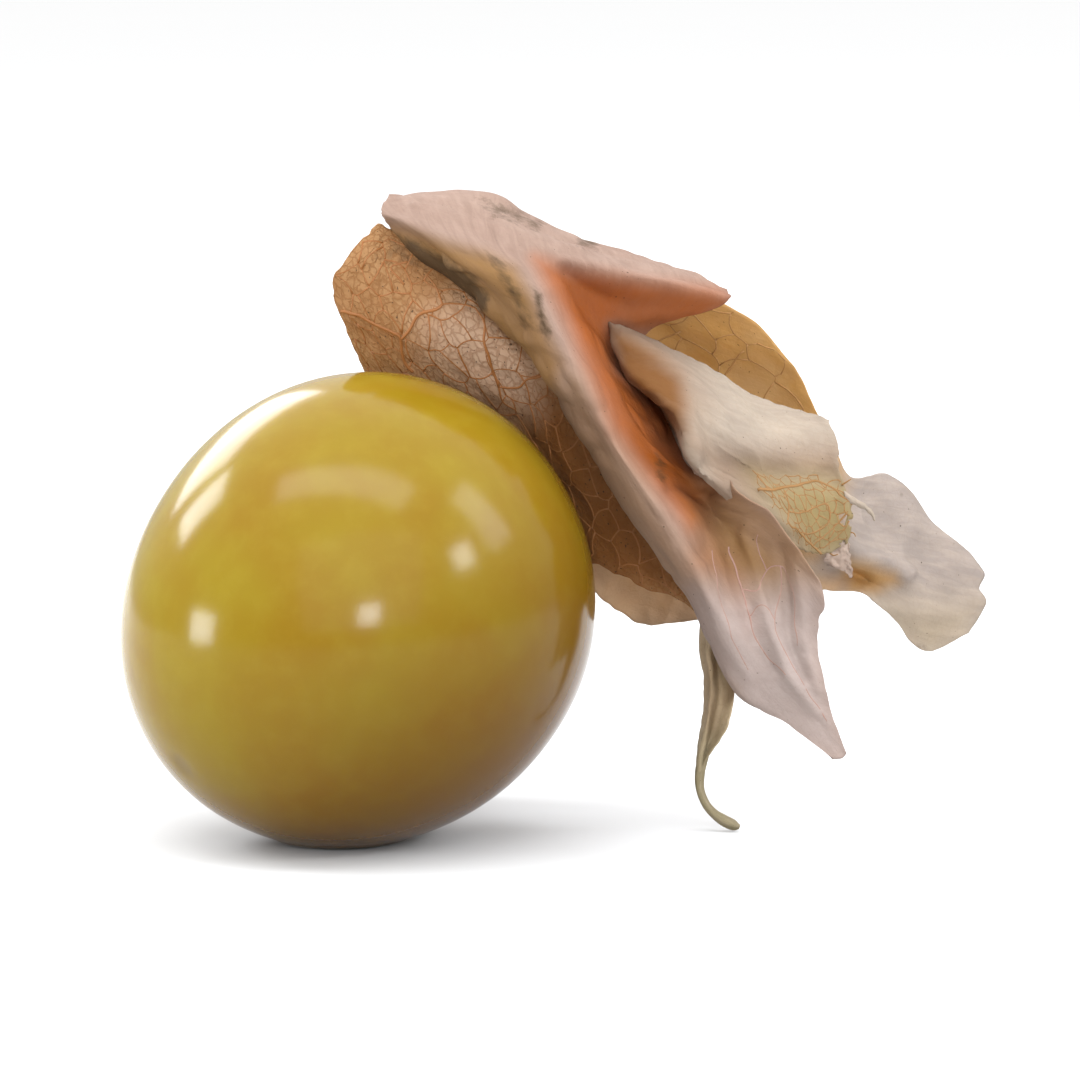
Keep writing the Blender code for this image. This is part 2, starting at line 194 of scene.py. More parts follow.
def waxy_berry_skin():
    """Skin of a ripe berry, grown smooth, with its wax: amber flesh glows through, gloss is soft-edged."""
    material, tree, shader = node_material("waxy_berry_skin")
    place = add_node(tree, "ShaderNodeTexCoord").outputs["Object"]
    colour = two_tones(tree, noise(tree, place, 4.5 * MM, 2), 0.32, 0.68, ("7A5E0E", "7E6A14"))
    flecks = ranged(tree, noise(tree, place, 1.1 * MM, 4, 0.6), 0.45, 0.75, 0.0, 0.22)
    colour = tinted(tree, colour, "8A7626", flecks)
    # Painted shade: towards the far right and the bottom the skin is coloured deeper, redder and darker, where
    # the berry is in shade.
    painted_shade_side = add_node(tree, "ShaderNodeVectorMath", {"operation": "DOT_PRODUCT", 1: (0.55, 0.2, -0.81)},
                        {0: place})
    painted_shade = ranged(tree, painted_shade_side.outputs["Value"], -14 * MM, 2 * MM, 0.0, 0.9, "SMOOTHSTEP")
    colour = tinted(tree, colour, "4E2A02", painted_shade)
    # The dry dot where the flower sat.
    scar_place = (BERRY_MIDDLE + BLOSSOM_SCAR * berry_reach(BLOSSOM_SCAR[None])[0]) * MM
    from_scar = add_node(tree, "ShaderNodeVectorMath", {"operation": "DISTANCE", 1: (*scar_place,)},
                         {0: place})
    dot = ranged(tree, from_scar.outputs["Value"], 0.2 * MM, 0.9 * MM, 0.3, 0.0, "SMOOTHSTEP")
    tree.links.new(tinted(tree, colour, "4A3210", dot), shader.inputs["Base Color"])
    shader.inputs["Roughness"].default_value = 0.16
    shader.inputs["IOR"].default_value = 1.45
    shader.inputs["Specular IOR Level"].default_value = 0.2
    shader.inputs["Subsurface Weight"].default_value = 0.2
    shader.inputs["Subsurface Radius"].default_value = (1.0, 0.55, 0.12)
    shader.inputs["Subsurface Scale"].default_value = 1.2 * MM
    grain = noise(tree, place, 0.25 * MM, 2)
    bump = add_node(tree, "ShaderNodeBump", {"Strength": 0.12, "Distance": 0.02 * MM}, {"Height": grain})
    tree.links.new(bump.outputs["Normal"], shader.inputs["Normal"])
    return material


def add_piece(name, mesh, materials, replaced):
    """A piece of the model, which rides on the one body and stands for a solid."""
    piece = bpy.data.objects.new(name, mesh)
    bpy.context.scene.collection.objects.link(piece)
    for material in materials:
        mesh.materials.append(material)
    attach(piece, "root")
    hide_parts(replaced)
    return piece


add_piece("berry_skin", skin_mesh(), [waxy_berry_skin()], "berry")

# ---- The husk's root ----
# The calyx is one grown bag of five joined sepals, now dry as paper and torn open. They meet in a round
# pad at the berry's stem end. Points are given as the front view shows them: right, up and how far back.

# In mm: from the berry to the pad, the paper's thickness, the least room from the berry to a sheet and from
# a sheet's rim to its net, how far tissue is puffed beside a vein, and how much of it stays at a torn cell.
GAP = 0.3
PAPER = 0.06
BERRY_ROOM = 0.15
RIM_ROOM = 0.08
PUFF_REACH = 0.3
TORN_RIM = 0.1
# How much a vein of the net bends and varies in thickness, and the chance that one between torn cells is lost.
VEIN_BEND = 0.14
VEIN_THICKNESS = (0.88, 1.12)
VEIN_LOSS = 0.7
TUBE_SIDE = (0.31, 0.87, 0.38)
MARKS = ("rust_and_shade", "tan", "bleach_and_sheen", "mould_and_shade")
BOSS_RADIUS = 2.3
BOSS_THICKNESS = 1.1
SIGHT_TILT = math.radians(7)
SIGHT_DISTANCE = 300.0
SIGHT_CENTRE = (7.67, 12.69)


def sight_point(right, up):
    """The point of the picture plane, which stands square to the line of sight on the rest spot."""
    right, up = np.broadcast_arrays(right, up)
    return np.stack((right, up * math.sin(SIGHT_TILT), up * math.cos(SIGHT_TILT)), axis=-1).astype(float)


LINE_OF_SIGHT = np.array((0, math.cos(SIGHT_TILT), -math.sin(SIGHT_TILT)))
EYE = sight_point(*SIGHT_CENTRE) - SIGHT_DISTANCE * LINE_OF_SIGHT


def seen(net):
    """Points in mm from rows of (right, up, back), each at that depth on its line of sight."""
    net = np.asarray(net, float)
    on_plane = sight_point(net[..., 0], net[..., 1])
    share = (net[..., 2] - EYE[1]) / (on_plane[..., 1] - EYE[1])
    return EYE + (on_plane - EYE) * share[..., None]


def in_view(points):
    """Where points in mm are seen in the front view, as right and up."""
    ray = points - EYE
    on_plane = EYE + ray * (SIGHT_DISTANCE / (ray @ LINE_OF_SIGHT))[..., None]
    return np.stack((on_plane[..., 0], on_plane[..., 2] / math.cos(SIGHT_TILT)), axis=-1)


def spline(points, places):
    """Smooth positions along a row of points, at places counted in points, by Catmull and Rom's rule."""
    points = np.asarray(points, float)
    ends = np.concatenate((2 * points[:1] - points[1:2], points, 2 * points[-1:] - points[-2:-1]))
    start = np.clip(np.floor(places).astype(int), 0, len(points) - 2)
    t = (places - start).reshape(-1, *[1] * (points.ndim - 1))
    a, b, c, d = (ends[start + i] for i in range(4))
    return 0.5 * (2 * b + (c - a) * t + (2 * a - 5 * b + 4 * c - d) * t ** 2
                  + (3 * b - a - 3 * c + d) * t ** 3)


def even_places(points, step):
    """Places along a row of points at about that spacing, in points."""
    fine = np.linspace(0, len(points) - 1, 900)
    steps = np.linalg.norm(np.diff(spline(points, fine), axis=0), axis=1)
    travelled = np.concatenate(([0], np.cumsum(steps)))
    count = max(3, round(travelled[-1] / step))
    return np.interp(np.linspace(0, travelled[-1], count + 1), travelled, fine)


def clear_of_berry(points, room):
    """Moves points outwards where they come nearer to the berry's skin than room."""
    out = points - BERRY_MIDDLE
    distance = np.linalg.norm(out, axis=-1, keepdims=True)
    direction = out / distance
    nearest = berry_reach(direction.reshape(-1, 3)).reshape(distance.shape) + room
    return BERRY_MIDDLE + direction * np.maximum(distance, nearest)


def sheet_normals(grid):
    """Unit normals of a grid of points."""
    return unit(np.cross(np.gradient(grid, axis=0), np.gradient(grid, axis=1)))


def sheet_grid(lines, step):
    """The middle surface of a sheet through its lines, and the same sheet laid flat, in mm."""
    net = seen(lines)
    along = even_places(net[len(net) // 2], step)
    widths = np.linalg.norm(np.diff(net, axis=0), axis=2).sum(axis=0)
    across = even_places(net[:, int(np.argmax(widths))], step)
    grid = spline(np.moveaxis(spline(net, across), 1, 0), along).swapaxes(0, 1)
    middle = grid[len(grid) // 2]
    run = np.concatenate(([0], np.cumsum(np.linalg.norm(np.diff(middle, axis=0), axis=1))))
    side = np.concatenate((np.zeros((1, grid.shape[1])),
                           np.cumsum(np.linalg.norm(np.diff(grid, axis=0), axis=2), axis=0)))
    side -= side[len(grid) // 2]
    return grid, np.stack(np.broadcast_arrays(run[None], side), axis=-1)


def crumple(grid, flat, waves, creases, seed):
    """Pushes a sheet in and out in round waves and sharp creases, given by height and size in mm."""
    lift = sum(height * ripple(flat, size, seed + i) for i, (height, size) in enumerate(waves))
    height, size = creases
    lift = lift + height * (1 - 2.2 * np.sqrt(ripple(flat, size, seed + 7) ** 2 + 0.004))
    lift = lift + height / 2 * (1 - 2.2 * np.sqrt(ripple(flat, size / 2.1, seed + 8) ** 2 + 0.006))
    return grid + sheet_normals(grid) * lift[..., None]


def fray(grid, flat, depth, size, seed, reach=0.9):
    """Pulls a sheet's rim in by a random amount, up to that depth, as a torn or nibbled edge."""
    rows, columns = grid.shape[:2]
    moved = grid.copy()
    sides = ((0, 3, rows), (-1, -4, rows), (0, 3, columns), (-1, -4, columns))
    for k, (border, third, count) in enumerate(sides):
        view = moved if k < 2 else moved.swapaxes(0, 1)
        where = flat if k < 2 else flat.swapaxes(0, 1)
        inward = view[third] - view[border]
        step = np.linalg.norm(inward, axis=1, keepdims=True) / 3
        inward = unit(inward)
        pull = depth * np.clip(0.5 + 0.7 * ripple(where[border], size, seed + k)
                               + 0.5 * ripple(where[border], size / 3, seed + 9 + k), 0, 1.4)
        steps = int(np.ceil(reach / max(step.mean(), 1e-3)))
        for i in range(min(steps, count // 2)):
            row = i if border == 0 else -1 - i
            view[row] += inward * (pull * (1 - i / steps))[:, None]
    return moved


def off_line(view, line):
    """How far seen places are from a drawn line, in mm."""
    away = np.full(view.shape[:-1], 1e9)
    for a, b in zip(line[:-1], line[1:]):
        along = np.clip(((view - a) @ (b - a)) / ((b - a) @ (b - a)), 0, 1)
        away = np.minimum(away, np.linalg.norm(view - a - along[..., None] * (b - a), axis=-1))
    return away


def pressed(grid, folds):
    """A sheet with ribs and furrows drawn in the front view, as rows of height, width in mm and line."""
    view = in_view(grid)
    normals = sheet_normals(grid)
    lift = np.zeros(grid.shape[:2])
    for height, width, *line in folds:
        smooth = spline(line, np.linspace(0, len(line) - 1, 5 * len(line)))
        lift += height * np.exp(-(off_line(view, smooth) / width) ** 2)
    return grid - normals * (np.clip(4 * (normals @ LINE_OF_SIGHT), -1, 1) * lift)[..., None]


def stains(grid, shapes):
    """How strongly shapes of the front view colour each point: rows of strength, softness and outline."""
    view = in_view(grid)
    left = np.ones(grid.shape[:2])
    for strength, softness, *outline in shapes:
        corners = np.array(outline, float)
        away = off_line(view, np.concatenate((corners, corners[:1])))
        within = np.zeros(grid.shape[:2], bool)
        for a, b in zip(corners, np.roll(corners, -1, axis=0)):
            if a[1] != b[1]:
                crosses = (a[1] > view[..., 1]) != (b[1] > view[..., 1])
                along = (view[..., 1] - a[1]) * (b[0] - a[0]) / (b[1] - a[1])
                within ^= crosses & (view[..., 0] < a[0] + along)
        depth = np.clip(np.where(within, away, -away) / softness * 0.5 + 0.5, 0, 1)
        left *= 1 - strength * depth * depth * (3 - 2 * depth)
    return 1 - left


def net_cells(flat, cell, seed):
    """The middles of the cells of the fine vein net, on the sheet laid flat."""
    low, high = flat.min(axis=(0, 1)), flat.max(axis=(0, 1))
    xs = np.arange(low[0] - cell, high[0] + cell, cell)
    ys = np.arange(low[1] - cell, high[1] + cell, cell * 0.9)
    middles = np.array([(x + (cell / 2 if j % 2 else 0), y) for j, y in enumerate(ys) for x in xs])
    return middles + np.random.default_rng(seed).uniform(-0.46, 0.46, (len(middles), 2)) * cell


def net_edges(middles, cell):
    """The veins of the net, as the borders between its cells: pairs of ends and of the cells beside them."""
    faces = delaunay_2d_cdt([Vector(m) for m in middles], [], [], 0, 1e-6)
    points = np.array([tuple(v) for v in faces[0]])
    beside = {}
    for number, face in enumerate(faces[2]):
        for i in range(3):
            beside.setdefault(tuple(sorted((face[i], face[(i + 1) % 3]))), []).append(number)
    a, b, c = (points[[face[i] for face in faces[2]]] for i in range(3))
    # Each cell corner is the middle of the circle through three cell middles.
    squares = [(p ** 2).sum(axis=1) for p in (a, b, c)]
    double = 2 * (a[:, 0] * (b - c)[:, 1] + b[:, 0] * (c - a)[:, 1] + c[:, 0] * (a - b)[:, 1])
    x = squares[0] * (b - c)[:, 1] + squares[1] * (c - a)[:, 1] + squares[2] * (a - b)[:, 1]
    y = squares[0] * (c - b)[:, 0] + squares[1] * (a - c)[:, 0] + squares[2] * (b - a)[:, 0]
    corners = np.column_stack((x, y)) / double[:, None]
    edges = []
    for pair, numbers in beside.items():
        if len(numbers) == 2:
            start, end = corners[numbers[0]], corners[numbers[1]]
            if 0.08 * cell < np.linalg.norm(start - end) < 2 * cell:
                edges.append((start, end, tuple(faces[3][p][0] for p in pair)))
    return edges


def on_sheet(grid, places):
    """Points of a grid at places counted in rows and columns."""
    rows, columns = grid.shape[:2]
    i = np.clip(places[:, 0], 0, rows - 1.001)
    j = np.clip(places[:, 1], 0, columns - 1.001)
    a, b = np.floor(i).astype(int), np.floor(j).astype(int)
    s, t = (i - a)[:, None], (j - b)[:, None]
    return ((1 - s) * (1 - t) * grid[a, b] + s * (1 - t) * grid[a + 1, b]
            + (1 - s) * t * grid[a, b + 1] + s * t * grid[a + 1, b + 1])


def ridge_tube(path, radii, sides=6):
    """Points and faces of a thin closed tube along a path in mm."""
    tangents = unit(np.gradient(path, axis=0))
    side = unit(np.cross(tangents, TUBE_SIDE))
    over = np.cross(tangents, side)
    angles = np.arange(sides) * math.tau / sides
    right, up = np.cos(angles)[None, :, None], np.sin(angles)[None, :, None]
    rings = path[:, None] + radii[:, None, None] * (right * side[:, None] + up * over[:, None])
    faces = []
    for i in range(len(path) - 1):
        for k in range(sides):
            a, b = i * sides + k, i * sides + (k + 1) % sides
            faces.append((a, b, b + sides, a + sides))
    last = (len(path) - 1) * sides
    faces += [tuple(range(sides - 1, -1, -1)), tuple(last + k for k in range(sides))]
    return rings.reshape(-1, 3), faces


def drawn_veins(grid, veins):
    """Raised veins along lines that are drawn in the front view, each with its radius at both ends in mm."""
    view = in_view(grid).reshape(-1, 2)
    back = grid.reshape(-1, 3)[:, 1]
    tubes = []
    for start_radius, end_radius, *points in veins:
        places = []
        for point in points:
            miss = np.linalg.norm(view - point, axis=1)
            near = np.flatnonzero(miss < miss.min() + 0.15)
            places.append(divmod(int(near[np.argmin(back[near] + 3 * miss[near])]), grid.shape[1]))
        smooth = spline(np.array(places, float), np.linspace(0, len(places) - 1, 9 * (len(places) - 1) + 1))
        wander = np.column_stack((ripple(smooth, 5.0, 71), ripple(smooth, 5.0, 72)))
        path = on_sheet(grid, smooth + 0.7 * wander)
        tubes.append((path, np.linspace(start_radius, end_radius, len(path))))
    return tubes


def net_veins(grid, flat, middles, cell, radius, bare, net_in):
    """Raised veins of the fine net where it shows, some left out between cells that are torn away."""
    shows = np.ones(grid.shape[:2]) if net_in is None else stains(grid, net_in)
    rows, columns = grid.shape[:2]
    run = flat[rows // 2, :, 0]
    rng = np.random.default_rng(len(middles))
    tubes = []
    for start, end, cells in net_edges(middles, cell):
        t = np.linspace(0, 1, 5)[:, None]
        across = np.array((-(end - start)[1], (end - start)[0]))
        line = start + (end - start) * t + across * rng.uniform(-VEIN_BEND, VEIN_BEND) * np.sin(t * math.pi)
        j = np.interp(line[:, 0], run, np.arange(columns))
        sides = [flat[:, round(k), 1] for k in j]
        inside = all(side[0] + RIM_ROOM < y < side[-1] - RIM_ROOM for y, side in zip(line[:, 1], sides))
        thin = rng.uniform(*VEIN_THICKNESS)
        if not inside or line[:, 0].min() < run[0] or line[:, 0].max() > run[-1]:
            continue
        if all(c in bare for c in cells) and rng.random() < VEIN_LOSS:
            continue
        i = np.array([np.interp(y, side, np.arange(rows)) for y, side in zip(line[:, 1], sides)])
        if shows[round(i[0]), round(j[0])] < 0.5:
            continue
        radii = radius * thin * (1 - 0.1 * np.sin(t[:, 0] * math.pi))
        tubes.append((on_sheet(grid, np.column_stack((i, j))), radii))
    return tubes


def husk_mesh(name, grid, flat, marks, tubes, kept):
    """One mesh of a thick sheet and its veins, with its marks as attributes and its flat place as UVs."""
    rows, columns = grid.shape[:2]
    total = rows * columns
    normals = sheet_normals(grid)
    index = np.arange(total).reshape(rows, columns)
    corners = (index[:-1, :-1], index[1:, :-1], index[1:, 1:], index[:-1, 1:])
    quads = np.stack([c[kept] for c in corners], axis=-1)
    # The rim stands between a quad and each side of it where the sheet ends.
    padded = np.pad(kept, 1)
    outside = (padded[1:-1, :-2], padded[2:, 1:-1], padded[1:-1, 2:], padded[:-2, 1:-1])
    rims = [quads]
    rims.append(quads[:, ::-1] + total)
    for i, beyond in enumerate(outside):
        open_side = kept & ~beyond
        a, b = corners[i][open_side], corners[(i + 1) % 4][open_side]
        rims.append(np.stack((b, a, a + total, b + total), axis=-1))
    faces = np.concatenate(rims).tolist()
    sheet_faces = len(faces)
    points = [(grid + normals * PAPER / 2).reshape(-1, 3), (grid - normals * PAPER / 2).reshape(-1, 3)]
    start = 2 * total
    for path, radii in tubes:
        tube_points, tube_faces = ridge_tube(path, radii)
        points.append(tube_points)
        faces += [tuple(k + start for k in face) for face in tube_faces]
        start += len(tube_points)
    used = np.unique(np.concatenate([np.unique(faces[:sheet_faces]), np.arange(2 * total, start)]))
    fresh = np.zeros(start, int)
    fresh[used] = np.arange(len(used))
    faces = [tuple(fresh[list(face)].tolist()) for face in faces]
    mesh = bpy.data.meshes.new(name)
    mesh.from_pydata((np.concatenate(points)[used] * MM).tolist(), [], faces)
    spread = np.zeros((start, 2))
    spread[:2 * total] = np.tile(flat.reshape(-1, 2), (2, 1))
    corner = np.zeros(len(mesh.loops), np.int32)
    mesh.loops.foreach_get("vertex_index", corner)
    layer = mesh.uv_layers.new(name="flat_sheet")
    layer.data.foreach_set("uv", spread[used][corner].astype(np.float32).ravel())
    for mark, values in marks.items():
        column = np.zeros(start, np.float32)
        column[:2 * total] = np.tile(values.ravel(), 2)
        mesh.attributes.new(mark, "FLOAT", "POINT").data.foreach_set("value", column[used])
    kinds = np.zeros(len(faces), np.int32)
    kinds[sheet_faces:] = 1
    mesh.polygons.foreach_set("material_index", kinds)
    mesh.shade_smooth()
    mesh.validate()
    return mesh


def dry_husk_paper(name, paper, rust_and_shade="8E4C22", tan="96744F", bleach_and_sheen="BDB2AE", mould_and_shade="40301F", net="8A5C34",
                   streaks="D8C4B0", lace=0.1, specks=0.745, glow_share=0.25):
    """Dried calyx tissue, thin as tissue paper: matt, with a brown net, stains and some painted shade and
    sheen, and some light through.
    """
    material, tree, shader = node_material(name)
    flat = add_node(tree, "ShaderNodeUVMap", {"uv_map": "flat_sheet"}).outputs["UV"]
    cloud = noise(tree, flat, 3.5, 4, 0.6)
    colour = two_tones(tree, cloud, 0.3, 0.7, paper)
    # Fibres along the sepal, 0.3 mm apart, as lighter and darker streaks.
    drawn_out = add_node(tree, "ShaderNodeVectorMath", {"operation": "MULTIPLY", 1: (0.5, 3.2, 1.0)},
                         {0: flat})
    fibre = noise(tree, drawn_out.outputs["Vector"], 1.0, 3, 0.6, 0.6)
    colour = tinted(tree, colour, streaks, ranged(tree, fibre, 0.4, 0.75, 0.0, 0.22))
    uneven = ranged(tree, cloud, 0.36, 0.62, 0.82, 1.0)
    # Marks laid on the paper: rust-brown, tan and bleached patches. Some of them also paint shade in hollows
    # and beside the berry, and on the back panel a whitish sheen.
    for mark, tint in (("rust_and_shade", rust_and_shade), ("tan", tan), ("bleach_and_sheen", bleach_and_sheen)):
        amount = add_node(tree, "ShaderNodeAttribute", {"attribute_name": mark}).outputs["Fac"]
        colour = tinted(tree, colour, tint, combined(tree, "MULTIPLY", amount, uneven))
    # The finest net: cells of 0.35 mm, which show as a darker lace.
    bent = add_node(tree, "ShaderNodeTexNoise", {"Scale": 1 / 0.5, "Detail": 3, "Roughness": 0.6},
                    {"Vector": flat})
    bending = add_node(tree, "ShaderNodeVectorMath", {"operation": "MULTIPLY_ADD", 1: (0.5, 0.5, 0.0)},
                       {0: bent.outputs["Color"], 2: flat})
    cells = add_node(tree, "ShaderNodeTexVoronoi", {"feature": "DISTANCE_TO_EDGE", "Scale": 1 / 0.35},
                     {"Vector": bending.outputs["Vector"]})
    line = ranged(tree, cells.outputs["Distance"], 0.0, 0.14, lace, 0.0)
    colour = tinted(tree, colour, net, combined(tree, "MULTIPLY", line, cloud))
    # Black specks of mould, 0.1 mm across, and larger dark patches: mould where it has spread, and on the far
    # sepal a painted shade along its rolled rim.
    speck = ranged(tree, noise(tree, flat, 0.16, 1), specks, specks + 0.04, 0.0, 0.8)
    colour = tinted(tree, colour, "3A2A1C", speck)
    spread = add_node(tree, "ShaderNodeAttribute", {"attribute_name": "mould_and_shade"}).outputs["Fac"]
    patches = combined(tree, "ADD", spread, noise(tree, flat, 0.55, 5, 0.7))
    colour = tinted(tree, colour, mould_and_shade, ranged(tree, patches, 0.85, 1.25, 0.0, 0.9))
    tree.links.new(colour, shader.inputs["Base Color"])
    shader.inputs["Roughness"].default_value = 0.72
    shader.inputs["IOR"].default_value = 1.45
    shader.inputs["Specular IOR Level"].default_value = 0.35
    relief = combined(tree, "ADD", combined(tree, "ADD", fibre, noise(tree, flat, 0.22, 3, 0.65)), line)
    bump = add_node(tree, "ShaderNodeBump", {"Strength": 0.5, "Distance": 0.05 * MM}, {"Height": relief})
    tree.links.new(bump.outputs["Normal"], shader.inputs["Normal"])
    glow = add_node(tree, "ShaderNodeBsdfTranslucent", {},
                    {"Color": colour, "Normal": bump.outputs["Normal"]})
    thin = add_node(tree, "ShaderNodeMixShader", {0: glow_share},
                    {1: shader.outputs["BSDF"], 2: glow.outputs["BSDF"]})
    tree.links.new(thin.outputs["Shader"], tree.nodes["Material Output"].inputs["Surface"])
    return material


def dry_vein(name, tint):
    """The calyx's veins: woodier than the tissue between them, so they dry darker and stand out."""
    material, tree, shader = node_material(name)
    place = add_node(tree, "ShaderNodeTexCoord").outputs["Object"]
    lighter = tuple(min(1.0, c * 1.5 + 0.02) for c in linear_colour(tint)[:3]) + (1.0,)
    mixed = add_node(tree, "ShaderNodeMix", {"data_type": "RGBA", 6: linear_colour(tint), 7: lighter},
                     {0: noise(tree, place, 1.2 * MM, 3)})
    tree.links.new(mixed.outputs[2], shader.inputs["Base Color"])
    shader.inputs["Roughness"].default_value = 0.6
    return material


def sheet_piece(name, lines, materials, step=0.14, waves=((0.14, 3.2), (0.06, 1.4)), creases=(0.1, 2.2),
                rag=(0.2, 1.2), cell=1.2, radius=0.048, veins=(), marks=None, seed=1, puff=0.05, torn=(),
                net_in=None, fibres=(), folds=()):
    """One sheet of the calyx through its lines, crumpled, frayed, veined and torn, and added as a piece."""
    grid, flat = sheet_grid(lines, step)
    grid = pressed(crumple(grid, flat, waves, creases, seed), folds)
    grid = fray(grid, flat, *rag, seed + 40)
    middles = net_cells(flat, cell, seed + 80)
    spots = {mark: stains(grid, (marks or {}).get(mark, ())) for mark in MARKS}
    bare, kept = torn_cells(grid, flat, middles, torn, seed)
    tubes = drawn_veins(grid, veins) + net_veins(grid, flat, middles, cell, radius, bare, net_in)
    if tubes:
        grid = puffed(grid, tubes, puff)
    grid = clear_of_berry(grid, BERRY_ROOM + PAPER / 2)
    for start_radius, end_radius, *line in fibres:
        path = spline(seen(line), np.linspace(0, len(line) - 1, 6 * len(line)))
        tubes.append((path, np.linspace(start_radius, end_radius, len(path))))
    return add_piece(name, husk_mesh(name, grid, flat, spots, tubes, kept), materials, "husk")


def torn_cells(grid, flat, middles, torn, seed):
    """The cells of the net whose tissue is gone at the torn spots, and which quads of the sheet are kept."""
    quads = (flat[:-1, :-1] + flat[1:, 1:]) / 2
    kept = np.ones(quads.shape[:2], bool)
    if not torn:
        return (), kept
    gone = stains(grid, torn)[:-1, :-1]
    chance = np.random.default_rng(seed + 5).random(len(middles))
    bare = set()
    for i in range(quads.shape[0]):
        for j in range(quads.shape[1]):
            if gone[i, j] > 0.02:
                away = np.linalg.norm(middles - quads[i, j], axis=1)
                nearest, second = np.argsort(away)[:2]
                if gone[i, j] > chance[nearest]:
                    bare.add(int(nearest))
                    kept[i, j] = away[second] - away[nearest] < TORN_RIM
    return bare, kept


def puffed(grid, tubes, depth):
    """The sheet with the tissue between its veins dried back from them."""
    points = np.concatenate([path for path, radii in tubes])
    finder = kdtree.KDTree(len(points))
    for i, point in enumerate(points):
        finder.insert(point, i)
    finder.balance()
    away = np.array([finder.find(point)[2] for point in grid.reshape(-1, 3)]).reshape(grid.shape[:2])
    normals = sheet_normals(grid)
    side = np.clip(4 * (normals @ LINE_OF_SIGHT), -1, 1)
    return grid + normals * (side * depth * (1 - np.exp(-(away / PUFF_REACH) ** 2)))[..., None]


def stem_mesh(name, path, radii, sides, folds):
    """A closed tube along a path in mm, with its rings drawn in or out by a share that folds gives."""
    points, faces = ridge_tube(path, radii, sides)
    rings = path[:, None] + (points.reshape(len(path), sides, 3) - path[:, None]) * folds[..., None]
    mesh = bpy.data.meshes.new(name)
    mesh.from_pydata((rings.reshape(-1, 3) * MM).tolist(), [], faces)
    mesh.shade_smooth()
    mesh.validate()
    return mesh


def root_mesh():
    """The thick round pad that the sepals grow from, with ten low ribs."""
    foot = berry_reach(STEM_END[None])[0] + GAP
    turn = np.array(Vector((0, 0, 1)).rotation_difference(Vector(STEM_END)).to_matrix())
    builder = bmesh.new()
    bmesh.ops.create_icosphere(builder, subdivisions=5, radius=1)
    for vertex in builder.verts:
        x, y, z = vertex.co
        rib = 1 + 0.04 * math.cos(10 * math.atan2(y, x)) * (x * x + y * y)
        local = np.array((x * rib * BOSS_RADIUS, y * rib * BOSS_RADIUS, z * BOSS_THICKNESS / 2))
        vertex.co = (BERRY_MIDDLE + STEM_END * (foot + BOSS_THICKNESS / 2) + turn @ local) * MM
    mesh = bpy.data.meshes.new("husk_root")
    builder.to_mesh(mesh)
    builder.free()
    layer = mesh.uv_layers.new(name="flat_sheet")
    for loop in mesh.loops:
        co = mesh.vertices[loop.vertex_index].co
        layer.data[loop.index].uv = (co.x / MM, co.y / MM)
    mesh.shade_smooth()
    return mesh


tan_paper = dry_husk_paper("tan_husk_paper", ("986A40", "AE865A"), rust_and_shade="744008", bleach_and_sheen="CEB6A2",
                           net="7E4C1C", streaks="C09A70", lace=0.9, specks=0.69)
tan_veins = dry_vein("tan_husk_veins", "7C4A16")
add_piece("husk_root", root_mesh(), [tan_paper], "husk")

# ---- The back panel ----
# The sepal that stands up behind the berry. It is the tannest and thickest of them, with a plain net of
# orange-brown veins, and it narrows to the lower right, into its long dried tip.

BACK_PANEL = (
    ((0.6, 18.9, 6.8), (3, 16.7, 8.3), (5, 14.6, 8.9), (6.8, 13, 8.4), (8.4, 11.9, 7.2),
     (10.2, 11.5, 5.2), (12.3, 10.6, 4.3), (14, 10, 3.8), (14.75, 8.7, 3.3)),
    ((-0.35, 20.9, 4.6), (1.6, 19.5, 5.2), (4, 17.9, 6.2), (6.5, 16, 6.8), (8.6, 13.9, 6),
     (10.6, 12.6, 4.8), (12.7, 11.3, 4), (14.2, 10.4, 3.5), (14.95, 8.75, 3.1)),
    ((-1.15, 23.4, 3.6), (0.9, 22, 3.8), (3.4, 20.6, 4), (6.5, 18.7, 4.3), (8.9, 16.1, 4.4),
     (11, 13.9, 4.2), (13, 12, 3.8), (14.4, 10.7, 3.3), (15.15, 8.8, 3)),
    ((-0.6, 24.9, 3.4), (1.3, 24, 3.6), (4, 22.5, 3.6), (7.2, 20.4, 3.8), (9.5, 17.8, 3.9),
     (11.5, 15, 3.9), (13.3, 12.7, 3.7), (14.65, 10.7, 3.2), (15.35, 8.75, 3)),
    ((0.9, 26.3, 4.4), (2.4, 25.6, 4.6), (5.2, 24, 4.8), (8.2, 21.8, 4.8), (10.1, 18.9, 4.6),
     (12, 15.8, 4.4), (13.7, 13.2, 4), (14.9, 10.9, 3.3), (15.6, 8.8, 3.1)),
)
BACK_PANEL_VEINS = (
    (0.09, 0.08, (-0.71, 22.4), (-0.07, 22.2), (0.69, 21.8), (1.41, 21.5), (1.75, 21.15), (1.96, 20.3),
     (2.25, 19.8)),
    (0.085, 0.075, (1.75, 21.15), (2.17, 21.6), (2.55, 22.2), (3.23, 22.6), (3.52, 22.8)),
    (0.06, 0.045, (3.52, 22.8), (3.4, 23.3), (2.8, 24)),
    (0.055, 0.05, (3.52, 22.8), (4.4, 22.7), (4.92, 22.6)),
    (0.06, 0.05, (1.96, 23.6), (1.37, 24.4), (2.04, 24.6)),
    (0.07, 0.055, (5.98, 19.2), (5.43, 20.9), (5.34, 21.8), (4.92, 22.6)),
    (0.065, 0.06, (5.98, 19.2), (6.6, 19.2), (7.33, 19.5), (7.88, 19.7)),
    (0.06, 0.055, (5.98, 19.2), (6.1, 18.5), (6.6, 18.2)),
)
